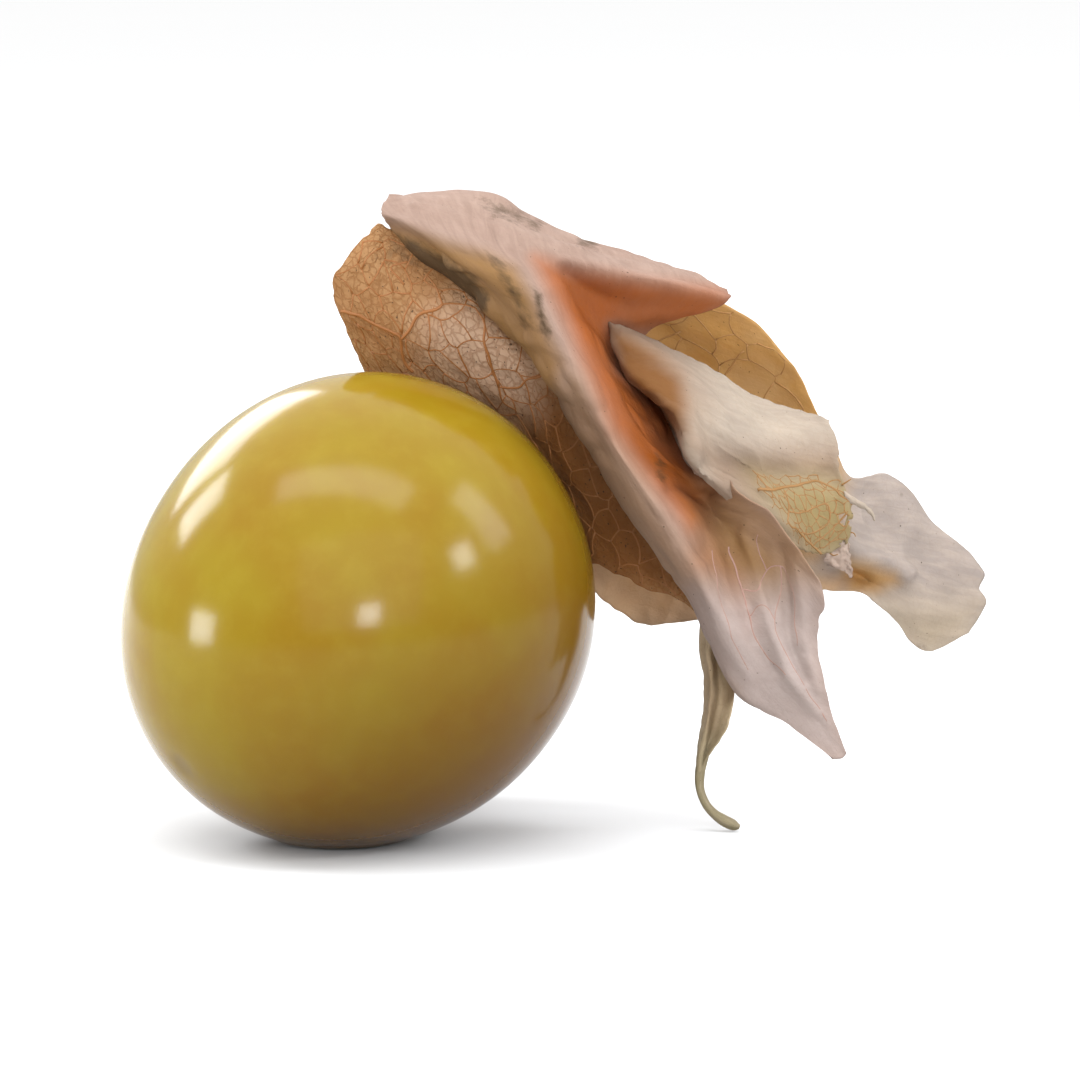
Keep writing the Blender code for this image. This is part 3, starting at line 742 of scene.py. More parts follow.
# Painted shade and sheen: the rust-brown band close beside the berry is partly the panel's own brown and
# partly painted shade, where the panel lies close behind the berry, and the pale patch in the middle is a
# painted whitish sheen. The second dark strip darkens the panel along the line where the folded sepal's roll
# lies over it.
BACK_PANEL_MARKS = {
    "rust_and_shade": (
        (0.85, 1.2, (7, 19.4), (8.4, 19.2), (10.2, 16.8), (12.4, 13.6), (14.2, 10.4), (11, 10.8),
         (9.6, 11.4), (8.6, 14), (7, 17.2)),
    ),
    "bleach_and_sheen": ((0.6, 1.4, (2.6, 22), (4.6, 23), (7.8, 20.4), (7.4, 18.2), (5, 18.6), (2.8, 20.4)),),
    "mould_and_shade": (
        (0.35, 1.2, (-0.8, 24.4), (0.6, 26.2), (2.4, 24.8), (0.6, 23.2)),
        (0.45, 0.5, (1.4, 25.6), (4.6, 23.2), (7.4, 20.4), (6.8, 20.2), (4.2, 22.7), (1.2, 25)),
    ),
}
sheet_piece("back_panel", BACK_PANEL, [tan_paper, tan_veins], veins=BACK_PANEL_VEINS, seed=11,
            marks=BACK_PANEL_MARKS)

# ---- The strand ----
# The long tip of the back panel. It has dried to a narrow strip, folded along its middle, which hangs
# behind the folded sepal and ends in the hook.

STRAND = (
    ((14.2, 10.4, 3.7), (14.45, 9.4, 3.4), (14.46, 7.9, 3.2), (14.66, 7, 3.1), (14.68, 6, 2.9),
     (14.5, 4.65, 2.7), (14.42, 3.5, 2.5), (14.4, 2.7, 2.3)),
    ((14.4, 10.4, 3.3), (14.85, 9.4, 2.6), (14.85, 7.9, 2.4), (14.98, 7, 2.3), (14.98, 6, 2.2),
     (14.78, 4.65, 2.1), (14.52, 3.5, 2.2), (14.46, 2.7, 2.2)),
    ((14.6, 10.4, 3.5), (15.25, 9.4, 3.3), (15.25, 7.9, 3.2), (15.35, 7, 3.1), (15.38, 6, 2.9),
     (15.1, 4.65, 2.7), (14.66, 3.5, 2.5), (14.52, 2.7, 2.3)),
    ((14.8, 10.4, 3.3), (15.8, 9.4, 2.6), (15.95, 7.9, 2.3), (16.02, 7, 2.1), (15.9, 5.9, 2),
     (15.6, 4.65, 2.1), (14.9, 3.5, 2.2), (14.6, 2.7, 2.25)),
)
strand_paper = dry_husk_paper("strand_husk_paper", ("B6A080", "CAB696"), rust_and_shade="745A3C", bleach_and_sheen="82775B",
                              net="6A5438", lace=0.2)
strand_veins = dry_vein("strand_husk_veins", "74583A")
STRAND_MARKS = {
    "rust_and_shade": (
        (0.9, 0.5, (14.8, 8.2), (15.2, 8), (15.2, 4.4), (14.7, 4.2), (14.8, 6)),
        (0.8, 0.4, (15.7, 7), (16.4, 7), (16.2, 5.6), (15.6, 5.8)),
    ),
    "bleach_and_sheen": ((1, 1.6, (13.5, 4.4), (16, 4.2), (16, 1.5), (13.5, 1.5)),),
}
sheet_piece("husk_strand", STRAND, [strand_paper, strand_veins], step=0.12, waves=((0.05, 2.0),),
            creases=(0.04, 1.2), rag=(0.08, 0.8), seed=17, net_in=(), marks=STRAND_MARKS)

# ---- The hook ----
# The strand's end. It has dried hard and rolled up into a thin, twisted, olive-grey hook, which reaches
# the table.

HOOK_LINE = ((14.95, 4.6, 2.9), (14.66, 3.6, 2.6), (14.49, 2.8, 2.34), (14.5, 2.1, 2.2), (14.72, 1.5, 2.1),
             (15.05, 1.08, 2), (15.5, 0.77, 1.93), (15.95, 0.56, 1.9), (16.2, 0.49, 1.9))
HOOK_RADII = (0.16, 0.26, 0.25, 0.2, 0.2, 0.23, 0.27, 0.24, 0.1)
HOOK_SIDES = 28
HOOK_TWIST = 4.0
WIDEST_FOLD = 1.15
HOOK_SPACING = 0.06


def hook_mesh():
    """A twisted strand with three folds along it, tapering to its end."""
    places = np.linspace(0, len(HOOK_LINE) - 1, 110)
    angles = np.arange(HOOK_SIDES) * math.tau / HOOK_SIDES
    twist = np.linspace(0, HOOK_TWIST, len(places))[:, None]
    folds = 1 + 0.16 * np.cos(3 * angles + twist) + 0.06 * np.cos(5 * angles - 2 * twist)
    path = spline(seen(HOOK_LINE), places)
    mesh = stem_mesh("husk_hook", path, spline(HOOK_RADII, places), HOOK_SIDES, folds / WIDEST_FOLD)
    layer = mesh.uv_layers.new(name="flat_sheet")
    for loop in mesh.loops:
        ring, side = divmod(loop.vertex_index, HOOK_SIDES)
        layer.data[loop.index].uv = (ring * HOOK_SPACING, side * HOOK_SPACING)
    return mesh


hook_paper = dry_husk_paper("hook_husk_paper", ("7A6E52", "887E62"), net="6A6040", lace=0.2)
add_piece("husk_hook", hook_mesh(), [hook_paper], "husk")

# ---- The folded sepal ----
# The sepal that rolls over the top and comes down in one sharp rib beside a deep valley, to the lowest tip.
# Its outside has bleached to a pinkish cream, and its inside, in the valley, is still deep orange-brown.

FOLDED_SEPAL = (
    ((1.9, 25.6, 6.4), (1.25, 27.35, 5.2), (0.9, 26.6, 3.6), (1.2, 25.5, 4.4), (3.2, 23.9, 4.6),
     (5.6, 22, 4.6), (7.9, 19.75, 4.6), (9.75, 17.3, 4.5), (11.55, 14.8, 4.2), (13.05, 12.5, 3.9),
     (14.2, 10.5, 3), (15.05, 8.3, 2.3), (16.2, 6, 1.7), (18.2, 4.85, 1.25), (20.2, 3.4, 1.2)),
    ((3.6, 25.4, 7.2), (3.2, 27.65, 5.6), (3, 26.1, 2.8), (3.9, 24.7, 2), (5.6, 23, 1.5),
     (7.1, 21.1, 1.3), (8.35, 19.2, 1.2), (9.3, 17.1, 1.1), (11.1, 14.3, 1), (12.7, 12, 1),
     (13.9, 10.3, 1.1), (15, 8.15, 1.2), (16.4, 6.1, 1.2), (18.6, 5, 1.2), (20.28, 3.37, 1.2)),
    ((6.2, 24.9, 7.6), (5.6, 27.45, 5.8), (6.4, 25.35, 1.6), (7.4, 24, 0.2), (8.2, 22.4, -0.2),
     (9, 20.7, -0.5), (9.85, 18.8, -0.7), (10.85, 16.7, -0.8), (12.6, 14.1, -0.7), (14, 11.9, -0.4),
     (15, 9.9, 0), (16.1, 8.3, 0.5), (17.3, 6.6, 0.95), (18.95, 5.15, 1.15), (20.38, 3.36, 1.2)),
    ((8.8, 24.2, 7.8), (8.4, 26, 5.8), (8.6, 24.9, 1.8), (8.8, 23.9, 2.2), (9.4, 22.2, 2.5),
     (10.2, 20.5, 2), (11.1, 18.7, 1.5), (12.1, 16.8, 1), (13.6, 14.6, 0.9), (15, 12.4, 1.2),
     (16.1, 10.2, 0.7), (16.9, 8.5, 0.5), (18, 6.8, 0.8), (19.2, 5.2, 1.1), (20.48, 3.37, 1.2)),
    ((11, 23.7, 7.6), (10.6, 25.2, 5.6), (10.8, 24.3, 1.8), (11, 22.7, 3), (11, 21, 3.8),
     (11.6, 19.4, 3.2), (12.4, 17.6, 2.2), (13.3, 16.1, 1.8), (14.6, 14.4, 2.8), (16, 12.6, 1.8),
     (17.3, 10.6, 1.1), (17.8, 8.8, 0.6), (18.7, 7, 0.8), (19.5, 5.3, 1.1), (20.58, 3.4, 1.2)),
    ((13.4, 23.2, 7), (13, 24.4, 5.2), (13.2, 23.8, 1.9), (13, 22.4, 3.1), (11.9, 21.4, 4.3),
     (12.4, 19.6, 4.9), (13.2, 17.9, 4.6), (14.4, 16, 3.6), (15.3, 14.7, 2), (17, 13.1, 1),
     (18.6, 11.2, 0.8), (18.8, 9, 0.7), (19.3, 7.15, 0.9), (19.85, 5.4, 1.12), (20.68, 3.48, 1.2)),
    ((15, 22.9, 6), (15.4, 23.5, 4.4), (15.85, 23.05, 2.8), (14.9, 22.35, 3.3), (12.2, 21.5, 4.5),
     (12.6, 19.6, 5.2), (13.8, 17.9, 5), (15.3, 16.2, 3.4), (16, 15, 0.8), (17.9, 13.4, 0.2),
     (19.75, 10.6, 0.5), (19.65, 9.1, 0.8), (19.7, 7.3, 1), (20.1, 5.5, 1.15), (20.78, 3.65, 1.2)),
)
FOLDED_SEPAL_VEINS = (
    (0.05, 0.04, (15.75, 12.3), (16.1, 11.2), (16.6, 9.6), (17.2, 8), (18.2, 6.9)),
    (0.045, 0.036, (16.3, 10.6), (16.9, 10.5), (17.4, 11.3), (17.9, 11.5), (18.4, 10.9), (18.6, 9.6),
     (18.7, 8.2)),
    (0.04, 0.036, (17.4, 11.3), (17, 12.2), (17, 13)),
    (0.04, 0.036, (17.9, 11.5), (18, 10.4), (17.7, 9.4), (18, 8.2), (19, 6.4), (19.9, 5)),
    (0.04, 0.036, (16.6, 9.6), (17.2, 10), (17.7, 9.4)),
    (0.04, 0.036, (15, 12.2), (15.3, 10.6), (15.8, 8.8), (16.5, 7.2)),
)
FOLDED_SEPAL_FOLDS = (
    (-0.26, 0.32, (15.8, 12.2), (15.95, 11.6), (16.4, 10.2), (16.9, 8.6), (17.6, 7.2)),
    (0.22, 0.3, (16.4, 13), (17, 11), (17.4, 9.2), (18.2, 7.2), (19.4, 5.4)),
    (-0.2, 0.25, (17.9, 12.2), (18.2, 10.2), (18.4, 8.4), (19, 6.8)),
    (0.16, 0.25, (18.6, 11.8), (18.9, 10), (19, 8.2), (19.5, 6.4)),
    (0.15, 0.35, (14.6, 11.6), (15.1, 9.8), (15.7, 8.2), (16.6, 6.9)),
    (-0.3, 0.4, (1.2, 25.9), (3, 24.9), (5, 23.4), (6.8, 21.6)),
    (0.14, 0.3, (2.4, 26.9), (4.4, 26.4), (7, 25.6), (9.4, 25.1)),
)
cream_paper = dry_husk_paper("cream_husk_paper", ("8C7264", "9C8476"), rust_and_shade="A0541A", tan="8F6B40",
                             mould_and_shade="4A3824", bleach_and_sheen="AA9C96", net="6E5044", streaks="C4A898")
rose_veins = dry_vein("rose_husk_veins", "86665A")
FOLDED_SEPAL_MARKS = {
    "rust_and_shade": (
        (1, 0.7, (7.5, 24.7), (9, 24.2), (12, 23.7), (15.2, 23.3), (16.2, 22.8), (14.1, 21.6),
         (12, 21.4), (10.8, 21.8), (11.2, 20), (13.4, 18.2), (14.3, 15.8), (15, 14.8),
         (14.6, 13.4), (14.1, 13.2), (13.3, 14.2), (12, 15.75), (10.8, 17.4), (9.95, 19.46),
         (9, 21.7)),
        (0.5, 0.8, (14, 15.4), (15.2, 14.8), (16.2, 12), (16.9, 9), (16.5, 8.9), (15.5, 11.2),
         (14.4, 11.6)),
    ),
    "tan": (
        (1, 0.5, (0.94, 26.2), (2.1, 25.9), (3.76, 25.3), (5.43, 24.9), (6.6, 24.3), (7.25, 23.2),
         (8, 21.5), (8.5, 20.2), (8.3, 19), (7.7, 19), (4, 22.4), (1.2, 25)),
        (0.35, 0.6, (8, 19.6), (9, 19.2), (9.9, 17.2), (10.9, 15.4), (12.1, 13.4), (13.4, 11.2),
         (14.2, 9), (13.4, 9), (12, 11.6), (10.4, 14), (9, 16.4)),
        (0.4, 0.8, (8.5, 20.6), (9.4, 19.6), (10.5, 17.3), (11.7, 15.7), (13, 13.6), (14.6, 11),
         (13.6, 10.4), (12.4, 12.4), (11, 14.4), (9.6, 16.6)),
        # Partly painted shade: these two brown patches are the sepal's own rose-brown, darkened as painted
        # shade in the hollow under the pale flap's lower band.
        (0.95, 1.4, (14.6, 15.2), (16, 14.3), (17.4, 12.9), (18.8, 11.4), (18, 10), (16.2, 10.6),
         (14.8, 12.2)),
        (0.6, 0.8, (15.4, 15.2), (17, 14.2), (18.6, 12.8), (20, 11.2), (19.6, 10.4), (17.6, 12.8),
         (15.6, 14.2)),
        (0.9, 0.5, (15.2, 7), (16.2, 6.5), (16.5, 5.5), (15.4, 5.4)),
    ),
    "bleach_and_sheen": (
        (0.85, 1.4, (15.6, 10.3), (18.8, 10.9), (20, 10.4), (20, 7.5), (21.4, 2.8), (19, 3.4),
         (15.8, 5.2), (14.2, 9), (14.4, 10.4)),
    ),
    "mould_and_shade": (
        (0.8, 0.5, (1.2, 25.8), (2.2, 25.6), (3.6, 24.9), (5, 24), (5.7, 22.9), (5.3, 22.2),
         (4, 23.1), (2.2, 24.4)),
        (0.7, 0.5, (5.2, 25.1), (6, 24.9), (6.9, 23.2), (7.3, 21.6), (6.9, 21.6), (6.2, 23.3)),
        (0.75, 0.4, (7.3, 23.6), (7.8, 23.2), (8.2, 21.6), (8.1, 20.9), (7.6, 21.6)),
        (0.55, 0.5, (4.6, 27.5), (6.4, 27.2), (8.2, 26.2), (7.6, 25.7), (5.6, 26.4)),
        (0.6, 0.4, (9.2, 26), (10.4, 25.5), (10.2, 24.9), (9.2, 25.2)),
        (0.6, 0.4, (12.5, 16.6), (13.2, 16.2), (13.2, 15), (12.5, 15.4)),
    ),
}
sheet_piece("folded_sepal", FOLDED_SEPAL, [cream_paper, rose_veins], veins=FOLDED_SEPAL_VEINS,
            folds=FOLDED_SEPAL_FOLDS, seed=23, rag=(0.1, 1.6), net_in=(), marks=FOLDED_SEPAL_MARKS)

# ---- The pale flap ----
# The edge of the folded sepal that has turned out of the valley. Its tissue is worn thin and almost white,
# and at its lower corner a bare net of straw-coloured veins stands out, with holes between them.

PALE_FLAP = (
    ((10.7, 21.6, 4.4), (10.7, 22, 3.2), (13.2, 20.9, 3.4), (16, 19.4, 4.6), (19, 18.25, 5.6),
     (20.1, 17.8, 5.6)),
    ((12, 19.6, 5.2), (11.3, 20.1, 2), (14.6, 18.9, 1.8), (17, 17.6, 3.2), (19.4, 17, 4.8),
     (20.4, 16.7, 5)),
    ((13.2, 18, 4.8), (13.4, 18.1, 0.6), (15.4, 17, 1.2), (17.6, 15.9, 2.8), (19.6, 15.4, 4.2),
     (20.65, 15.2, 4.4)),
    ((13.8, 16.6, 4.4), (14.3, 15.9, 0), (16.2, 14.9, 1.4), (18.2, 14, 2.9), (20, 13.7, 3.8),
     (21.1, 13.8, 4)),
    ((14.4, 15.6, 3.6), (14.6, 15.3, 0.8), (16.3, 13.8, 2), (18.5, 12.4, 3.2), (19.7, 12, 3.7),
     (20.8, 12.5, 4)),
)
PALE_FLAP_VEINS = (
    (0.085, 0.06, (17, 14.8), (18.06, 14.9), (18.9, 15.1), (19.56, 15.18), (20.2, 14.95), (20.74, 14.47),
     (21, 14.2)),
    (0.04, 0.06, (16.74, 15.65), (17.2, 15.2), (17.5, 14.85)),
    (0.06, 0.06, (18.06, 14.8), (18.33, 13.9), (18.3, 13.5), (18.7, 13), (19.28, 12.4), (19.66, 12.15)),
    (0.05, 0.05, (18.33, 13.9), (19.2, 13.96), (19.9, 14.25), (20, 13.5), (19.56, 13.15), (18.76, 13)),
    (0.05, 0.04, (19.28, 12.4), (20.1, 13.07), (20.78, 13.9)),
    (0.04, 0.04, (19.5, 12.25), (20.5, 12.9), (20.9, 13.6)),
    (0.04, 0.04, (17.5, 14.85), (17.9, 14.2), (18.3, 13.7)),
    (0.03, 0.03, (17.7, 14.6), (18.1, 14.4), (18.2, 14.2)),
)
TORN_FIBRES = (
    (0.045, 0.02, (20.55, 15.05, 4.4), (20.8, 15.2, 4.3), (20.95, 15.3, 4.3)),
    (0.04, 0.02, (20.8, 13.05, 4), (21.05, 13, 3.9), (21.15, 12.85, 3.9)),
    (0.04, 0.02, (20, 12.2, 3.8), (20.2, 12.05, 3.8), (20.4, 12.1, 3.7)),
)
WORN_CORNER = ((16.6, 15.7), (17.6, 15.5), (19.4, 15.5), (20.7, 15.3), (22, 13.6), (20.8, 12.2),
               (19.5, 11.9), (18.4, 13.1), (17.2, 14.6))
white_paper = dry_husk_paper("worn_husk_paper", ("A09284", "B4A696"), rust_and_shade="8C7040", tan="80542A",
                             bleach_and_sheen="968458", net="86602A", lace=0.12, glow_share=0.35)
straw_veins = dry_vein("straw_husk_veins", "74501E")
PALE_FLAP_MARKS = {
    "tan": (
        # Partly painted shade: the brown on the flap's turned-back left side and across its middle fold is a
        # tan stain, made darker as painted shade.
        (0.4, 1.2, (10.4, 22.2), (12.6, 21.5), (14.2, 20.6), (14.8, 18.6), (14.3, 16.6), (13.2, 17)),
        (1, 0.6, (10.6, 21.8), (11.4, 21.5), (12.7, 20.7), (13.7, 19.7), (13.9, 18.4), (13.8, 17.4),
         (13, 17.2), (12.2, 18), (11, 19.9)),
        (0.5, 1, (14.4, 16.8), (17, 16.4), (20.4, 16.6), (20.8, 15), (18, 15.2), (17, 14.4),
         (15, 14.8)),
        (0.4, 0.8, (15.4, 14.6), (17, 14.4), (19.2, 12.6), (19.6, 11.6), (18.4, 12)),
    ),
    "bleach_and_sheen": ((0.95, 1.1, *WORN_CORNER),),
    "rust_and_shade": ((0.7, 0.9, (18.2, 14.2), (20.8, 14.6), (21.4, 13), (19.4, 11.9)),),
}
PALE_FLAP_FOLDS = (
    (0.3, 0.5, (11.2, 21.2), (12.6, 20.4), (13.8, 19.2), (14.1, 17.4), (14.4, 16.2)),
    (-0.3, 0.6, (14.8, 15.9), (16.4, 15.7), (18.4, 15.5), (20.2, 15.4)),
    (0.2, 0.4, (15, 15.3), (16.6, 14.3), (18.2, 13.2)),
)
sheet_piece("pale_flap", PALE_FLAP, [white_paper, straw_veins], veins=PALE_FLAP_VEINS, seed=31,
            folds=PALE_FLAP_FOLDS, marks=PALE_FLAP_MARKS, net_in=((1, 0.2, *WORN_CORNER),),
            torn=((0.3, 0.5, (19.8, 13.6), (21.2, 14.2), (21.0, 12.4), (19.6, 12.0)),), cell=0.5,
            radius=0.044, step=0.09, puff=0.03, rag=(0.14, 0.7), fibres=TORN_FIBRES)

# ---- The flap's torn tooth ----
# A narrow strip of the worn corner, torn loose along a vein and dried. It still hangs from the corner and
# points to the lower right.

TOOTH = (
    ((20.6, 14.85, 4.15), (21.1, 14.5, 4), (21.6, 14.22, 3.9), (21.9, 13.9, 3.85), (22, 13.5, 3.85)),
    ((20.65, 14.65, 4.05), (21.1, 14.35, 3.92), (21.55, 14.1, 3.84), (21.84, 13.82, 3.8),
     (21.98, 13.49, 3.82)),
    ((20.7, 14.3, 4.05), (21.1, 14.2, 3.95), (21.48, 14, 3.88), (21.78, 13.76, 3.85),
     (21.95, 13.48, 3.83)),
)
sheet_piece("flap_tooth", TOOTH, [white_paper, straw_veins], step=0.06, waves=((0.03, 0.6),),
            creases=(0.03, 0.5), rag=(0.05, 0.3), seed=37, net_in=())

# ---- The far sepal ----
# It spreads behind the others and ends at the right in a broad lobe, torn and turned up at its edge.

FAR_SEPAL = (
    ((7.4, 17.6, 5.9), (8.6, 20, 7.6), (12, 23.4, 8.8), (15.9, 22.7, 8.4), (18.1, 20.7, 8.6),
     (19.6, 18.1, 8.8), (20.9, 15.6, 9.6), (22.6, 15.5, 11), (24.4, 13.5, 12.4), (26.3, 11.95, 13.4)),
    ((7.7, 17, 5.7), (8.9, 18.2, 7.9), (12.2, 20.6, 9.8), (15.6, 19.6, 9.6), (17.6, 18.2, 9.4),
     (19.2, 16.4, 9.2), (20.9, 14.2, 9), (22.6, 13.6, 10.2), (24.6, 12.4, 11.8), (26.75, 11.2, 13.2)),
    ((7.9, 16.3, 5.7), (9, 16.3, 8), (12.3, 17.2, 10.2), (15.3, 16.2, 10), (17.2, 15.4, 9.6),
     (19.2, 14.2, 9), (21.2, 12.2, 8.2), (22.9, 11.7, 9.8), (24.7, 11.2, 11.6), (26.45, 10.6, 13)),
    ((7.9, 15.6, 5.9), (9.1, 14.2, 8), (12.3, 13.4, 9.6), (15.2, 12.6, 9.4), (17.2, 12.4, 9.2),
     (19.2, 12.2, 9), (21.2, 11.3, 10), (22.9, 10.5, 10.4), (24.6, 9.8, 11.6), (26.7, 10, 13)),
    ((7.7, 14.9, 6.2), (9, 11.6, 7.6), (11.6, 9.2, 8), (14.2, 9.3, 7.6), (16.6, 10.2, 7.8),
     (18.8, 10.5, 8.2), (20.8, 10.5, 9), (22.3, 9.6, 10.2), (24, 8, 11.8), (25.9, 8.8, 12.8)),
)
FAR_SEPAL_VEINS = (
    (0.1, 0.07, (8.2, 16.3), (11, 17.2), (14.4, 16.6), (17.2, 15.5), (19.4, 14)),
    (0.07, 0.05, (9.6, 16.8), (11.4, 19.6), (13.6, 21.6)),
    (0.07, 0.05, (12.4, 17), (14.6, 18.8), (16.4, 20.8)),
    (0.06, 0.05, (15.2, 16.2), (17, 17.6), (18.6, 18.2)),
    (0.07, 0.05, (10.4, 17), (11.6, 14.4), (13, 11.2)),
    (0.06, 0.05, (14, 16.6), (15.6, 13.8), (16.6, 11.6)),
)
FAR_SEPAL_NET = ((5, 14.5), (5, 21), (10.6, 25), (17.6, 23), (20, 18), (19.6, 13),
                 (16, 12.5))
FAR_SEPAL_FOLDS = (
    (0.4, 0.4, (20.7, 12.15), (21.8, 12), (22.6, 11.7), (23.3, 11.3)),
    (0.25, 0.5, (21.4, 10.2), (22.6, 9.9), (23.8, 9.6), (25.2, 9.6)),
    (-0.25, 0.7, (21.6, 14.6), (22.6, 13.2), (24, 12.3)),
)
grey_paper = dry_husk_paper("grey_husk_paper", ("988C84", "A89C94"), rust_and_shade="BC9A72", tan="C2985A",
                            bleach_and_sheen="B4A48C", net="7A5428", glow_share=0.4)
ochre_veins = dry_vein("ochre_husk_veins", "8E6430")
FAR_SEPAL_MARKS = {
    "tan": (
        (1, 1, (5, 20), (10.6, 25), (17, 23.2), (20.6, 18.6), (20.6, 16.4), (20.2, 13.4),
         (19.4, 12), (14, 11.6), (5, 13.6)),
        (0.95, 0.5, (20.6, 11.9), (21.8, 11.6), (22.8, 11.2), (22.9, 10.9), (22, 10.5), (20.9, 10.5)),
    ),
    "bleach_and_sheen": ((0.8, 1.4, (22.2, 10.2), (24, 10), (26.4, 10), (26, 8.6), (24.4, 7.4), (22.4, 8.6)),),
    "rust_and_shade": (
        (0.9, 2, (6, 13.4), (15.2, 12.4), (17, 8.6), (9, 8)),
        (0.8, 0.5, (19.4, 11.2), (20.7, 11.2), (20.7, 10), (19.4, 10)),
    ),
    "mould_and_shade": (
        # Painted shade: this dark strip along the lobe's upper right rim paints the shade where the rim rolls
        # away.
        (0.3, 0.6, (22.4, 15.9), (24.8, 13.6), (26.8, 12), (27, 9.8), (26.2, 11.4), (24, 13.2),
         (22.2, 15)),
        (0.45, 0.4, (22.6, 9), (23.6, 8.5), (24.6, 8.2), (24.4, 7.6), (22.6, 8.6)),
    ),
}
sheet_piece("far_sepal", FAR_SEPAL, [grey_paper, ochre_veins], veins=FAR_SEPAL_VEINS,
            folds=FAR_SEPAL_FOLDS, seed=47, rag=(0.12, 1.6), cell=1.5, net_in=((1, 0.2, *FAR_SEPAL_NET),),
            marks=FAR_SEPAL_MARKS)

# ---- The torn shred ----
# A crumpled pinkish scrap of the tear, which still hangs between the far sepal and the worn corner.

SHRED = (
    ((19.6, 12.6, 3.7), (20.1, 12.9, 3.85), (20.6, 12.9, 4), (20.9, 12.8, 4.1)),
    ((19.7, 12.1, 3.8), (20.2, 12.1, 4), (20.7, 12.1, 4), (20.95, 12, 4.3)),
    ((19.8, 11.8, 4), (20.3, 11.7, 3.9), (20.7, 11.75, 4.2), (20.95, 11.5, 4.6)),
    ((20, 11.6, 4.2), (20.4, 11.45, 4.1), (20.7, 11.3, 4.4), (20.95, 11.05, 4.9)),
)
shred_paper = dry_husk_paper("shred_husk_paper", ("AA9486", "C2B0A2"), glow_share=0.4)
sheet_piece("husk_shred", SHRED, [shred_paper, rose_veins], step=0.06, waves=((0.06, 0.4),),
            creases=(0.06, 0.35), rag=(0.12, 0.3), seed=67, net_in=())

# ---- The rear sepal ----
# It hangs down behind the berry, and its dry tip props the berry from behind.

REAR_SEPAL = (
    ((2.6, 16.9, 8.4), (-0.4, 14.6, 10.9), (-1.9, 10.2, 11.9), (-1.3, 5.6, 12.3), (0.4, 2.18, 12.6)),
    ((3.6, 16, 8.8), (1, 13.8, 11.4), (-0.2, 9.6, 12.5), (0, 5.3, 12.7), (1, 2.12, 12.8)),
    ((4.8, 15.2, 9), (2.8, 12.9, 11.6), (2.1, 9, 12.7), (1.8, 5.1, 12.8), (1.5, 2.1, 12.9)),
    ((5.9, 14.4, 9), (4.6, 12, 11.4), (4.2, 8.6, 12.3), (3.4, 5.2, 12.5), (2.1, 2.15, 12.8)),
)
REAR_SEPAL_VEINS = ((0.1, 0.07, (4.2, 15.4), (1.9, 13.2), (1.0, 9.3), (0.9, 5.2), (1.2, 2.3)),)
sheet_piece("rear_sepal", REAR_SEPAL, [tan_paper, tan_veins], veins=REAR_SEPAL_VEINS, seed=59)

# ---- The fruit stalk ----
# A short dry stem, finely grooved along its length, cut off clean. It holds the husk at its root pad.

STALK_RADIUS = 0.6
STALK_FLARE = 0.95
STALK_SIDES = 40
GROOVE_DEPTH = 0.07
STALK_BEND = ((0, 0, 0), (0.8, 1.2, 0.7), (1.5, 2.9, 1.2), (1.9, 4.9, 1.2), (1.9, 6.9, 0.7))


def stalk_mesh():
    """A bent grooved stem that flares where it meets the husk."""
    places = np.linspace(0, len(STALK_BEND) - 1, 80)
    foot = BERRY_MIDDLE + STEM_END * (berry_reach(STEM_END[None])[0] + 2 * GAP + BOSS_THICKNESS)
    radii = STALK_RADIUS + (STALK_FLARE - STALK_RADIUS) * np.exp(-places / 0.45)
    angles = np.arange(STALK_SIDES) * math.tau / STALK_SIDES
    groove = 1 - GROOVE_DEPTH * np.abs(np.sin(5 * angles[None] + 0.2 * np.sin(places[:, None] * 3)))
    return stem_mesh("stalk_stem", foot + spline(STALK_BEND, places), radii, STALK_SIDES, groove)


add_piece("stalk_stem", stalk_mesh(), [dry_vein("dry_stalk_skin", "7A6A3E")], "stalk")

# ---- The table ----
# A plain pale sheet of matt card, 4 m wide so that its edge is never seen.
# It takes a soft shadow.

CARD_HALF = 2.0
card_mesh = bpy.data.meshes.new("pale_card")
card_corners = ((-1, -1), (1, -1), (1, 1), (-1, 1))
card_places = [(x * CARD_HALF, y * CARD_HALF, -0.02 * MM) for x, y in card_corners]
card_mesh.from_pydata(card_places, [], [(0, 1, 2, 3)])
# Uncoated card: it scatters light evenly, with no gloss.
card, card_tree, card_shader = node_material("matt_pale_card")
card_shader.inputs["Base Color"].default_value = linear_colour("C8C8C8")
card_shader.inputs["Roughness"].default_value = 0.9
card_mesh.materials.append(card)
table = bpy.data.objects.new("pale_card", card_mesh)
bpy.context.scene.collection.objects.link(table)

# ---- Light and camera ----
# A white light tent, brightest overhead, and soft boxes round its front. The berry's wax shows each box as
# one soft highlight, so a box is placed by the spot on the berry that mirrors it into the camera.


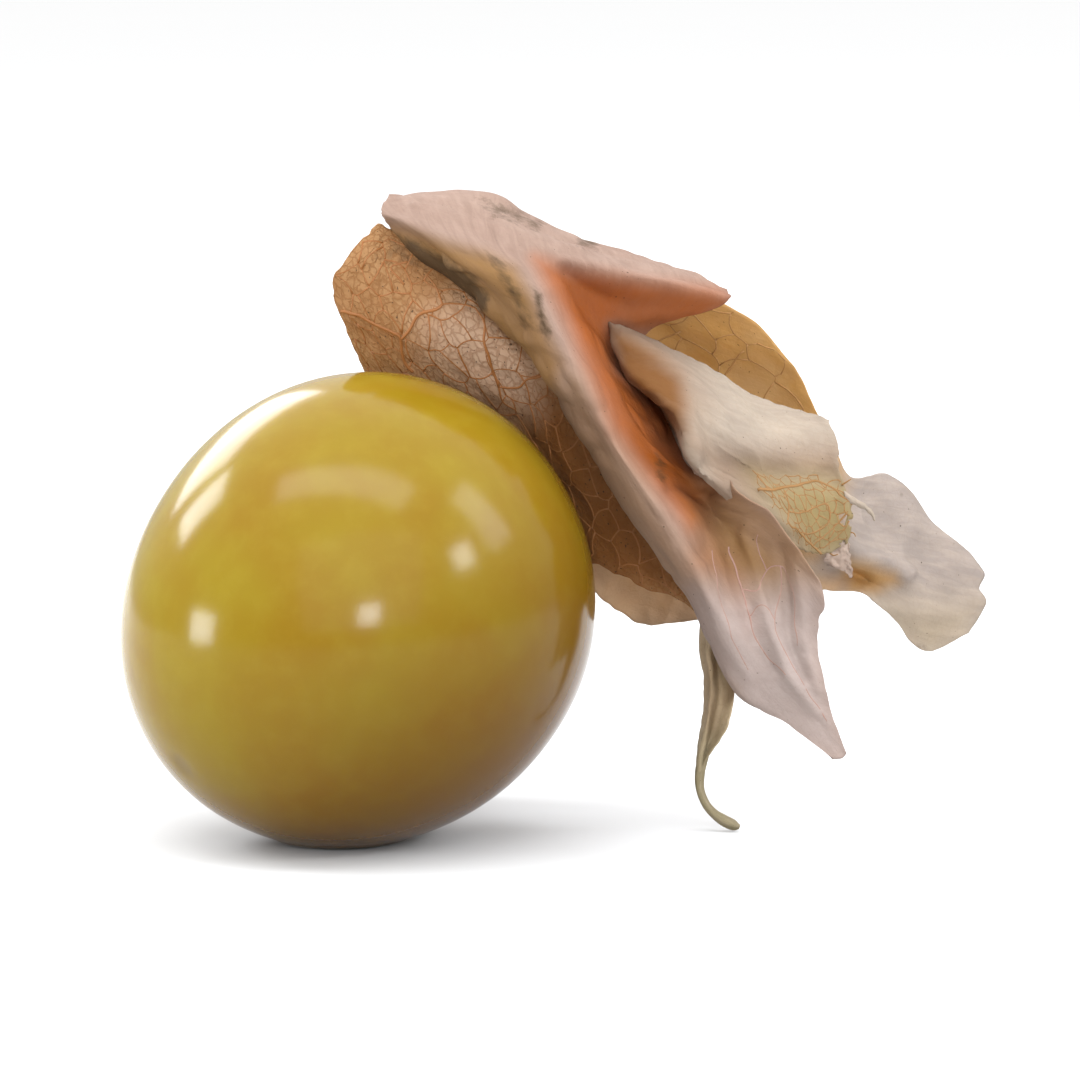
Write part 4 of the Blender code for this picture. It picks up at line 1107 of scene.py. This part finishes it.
def soft_box(name, right, up, width, height, radiance, distance=0.35):
    """A soft box that the berry mirrors at (right, up) of the front view, as wide and high in mm there."""
    start = seen((right, up, -30.0))
    ray = (start - EYE) / np.linalg.norm(start - EYE)
    near = -(start - BERRY_MIDDLE) @ ray
    closest = start + ray * near
    # The line of sight meets the skin where it comes within the reach of it.
    spot = closest.copy()
    for half in np.linspace(0, 12, 600):
        point = closest - ray * half
        out = point - BERRY_MIDDLE
        if np.linalg.norm(out) < berry_reach((out / np.linalg.norm(out))[None])[0]:
            spot = point
    normal = (spot - BERRY_MIDDLE) / np.linalg.norm(spot - BERRY_MIDDLE)
    mirrored = ray - 2 * (ray @ normal) * normal
    place = spot * MM + mirrored * distance
    lamp = bpy.data.lights.new(name, "AREA")
    lamp.shape = "RECTANGLE"
    lamp.size = 2 * width / BERRY_RADIUS * distance
    lamp.size_y = 2 * height / BERRY_RADIUS * distance
    lamp.energy = radiance * math.pi * lamp.size * lamp.size_y
    lamp.color = (0.93, 0.96, 1.0)
    holder = bpy.data.objects.new(name, lamp)
    holder.location = place
    holder.rotation_euler = Vector(-mirrored).to_track_quat("-Z", "Y").to_euler()
    bpy.context.scene.collection.objects.link(holder)


tent = bpy.data.worlds.new("white_tent")
tent.use_nodes = True
tent_tree = tent.node_tree
direction = add_node(tent_tree, "ShaderNodeTexCoord").outputs["Generated"]
height = add_node(tent_tree, "ShaderNodeSeparateXYZ", {}, {"Vector": direction}).outputs["Z"]
backdrop = tent_tree.nodes["Background"]
tent_tree.links.new(ranged(tent_tree, height, -0.1, 0.9, 0.5, 1.95), backdrop.inputs["Strength"])
backdrop.inputs["Color"].default_value = (1, 1, 1, 1)
bpy.context.scene.world = tent
soft_box("upper_left_box", -6.6, 14.7, 1.2, 1.6, 15)
soft_box("wide_top_box", -0.4, 15.4, 5.2, 1.3, 6.5)
soft_box("right_box", 5.2, 13.7, 1.3, 2.2, 7)
soft_box("left_spot_box", -6.6, 9.8, 1.3, 1.2, 26)
soft_box("middle_spot_box", 1.0, 10.25, 0.9, 0.8, 30)
soft_box("right_spot_box", 4.6, 12.2, 1.0, 0.8, 22)
soft_box("rim_box", -5.4, 17.1, 2.6, 1.8, 8)
soft_box("front_fill_box", 0.6, 11.6, 5.5, 4.0, 1.3, distance=0.6)

camera = bpy.data.cameras.new("camera")
camera.lens = 236
camera.sensor_width = 36
camera.clip_start = 0.01
camera_holder = bpy.data.objects.new("camera", camera)
aim = Vector((0.0077, 0, 0.0128))
camera_holder.location = aim - Vector(LINE_OF_SIGHT) * SIGHT_DISTANCE * MM
camera_holder.rotation_euler = Vector(LINE_OF_SIGHT).to_track_quat("-Z", "Y").to_euler()
bpy.context.scene.collection.objects.link(camera_holder)
bpy.context.scene.camera = camera_holder
bpy.context.scene.view_settings.view_transform = "Standard"
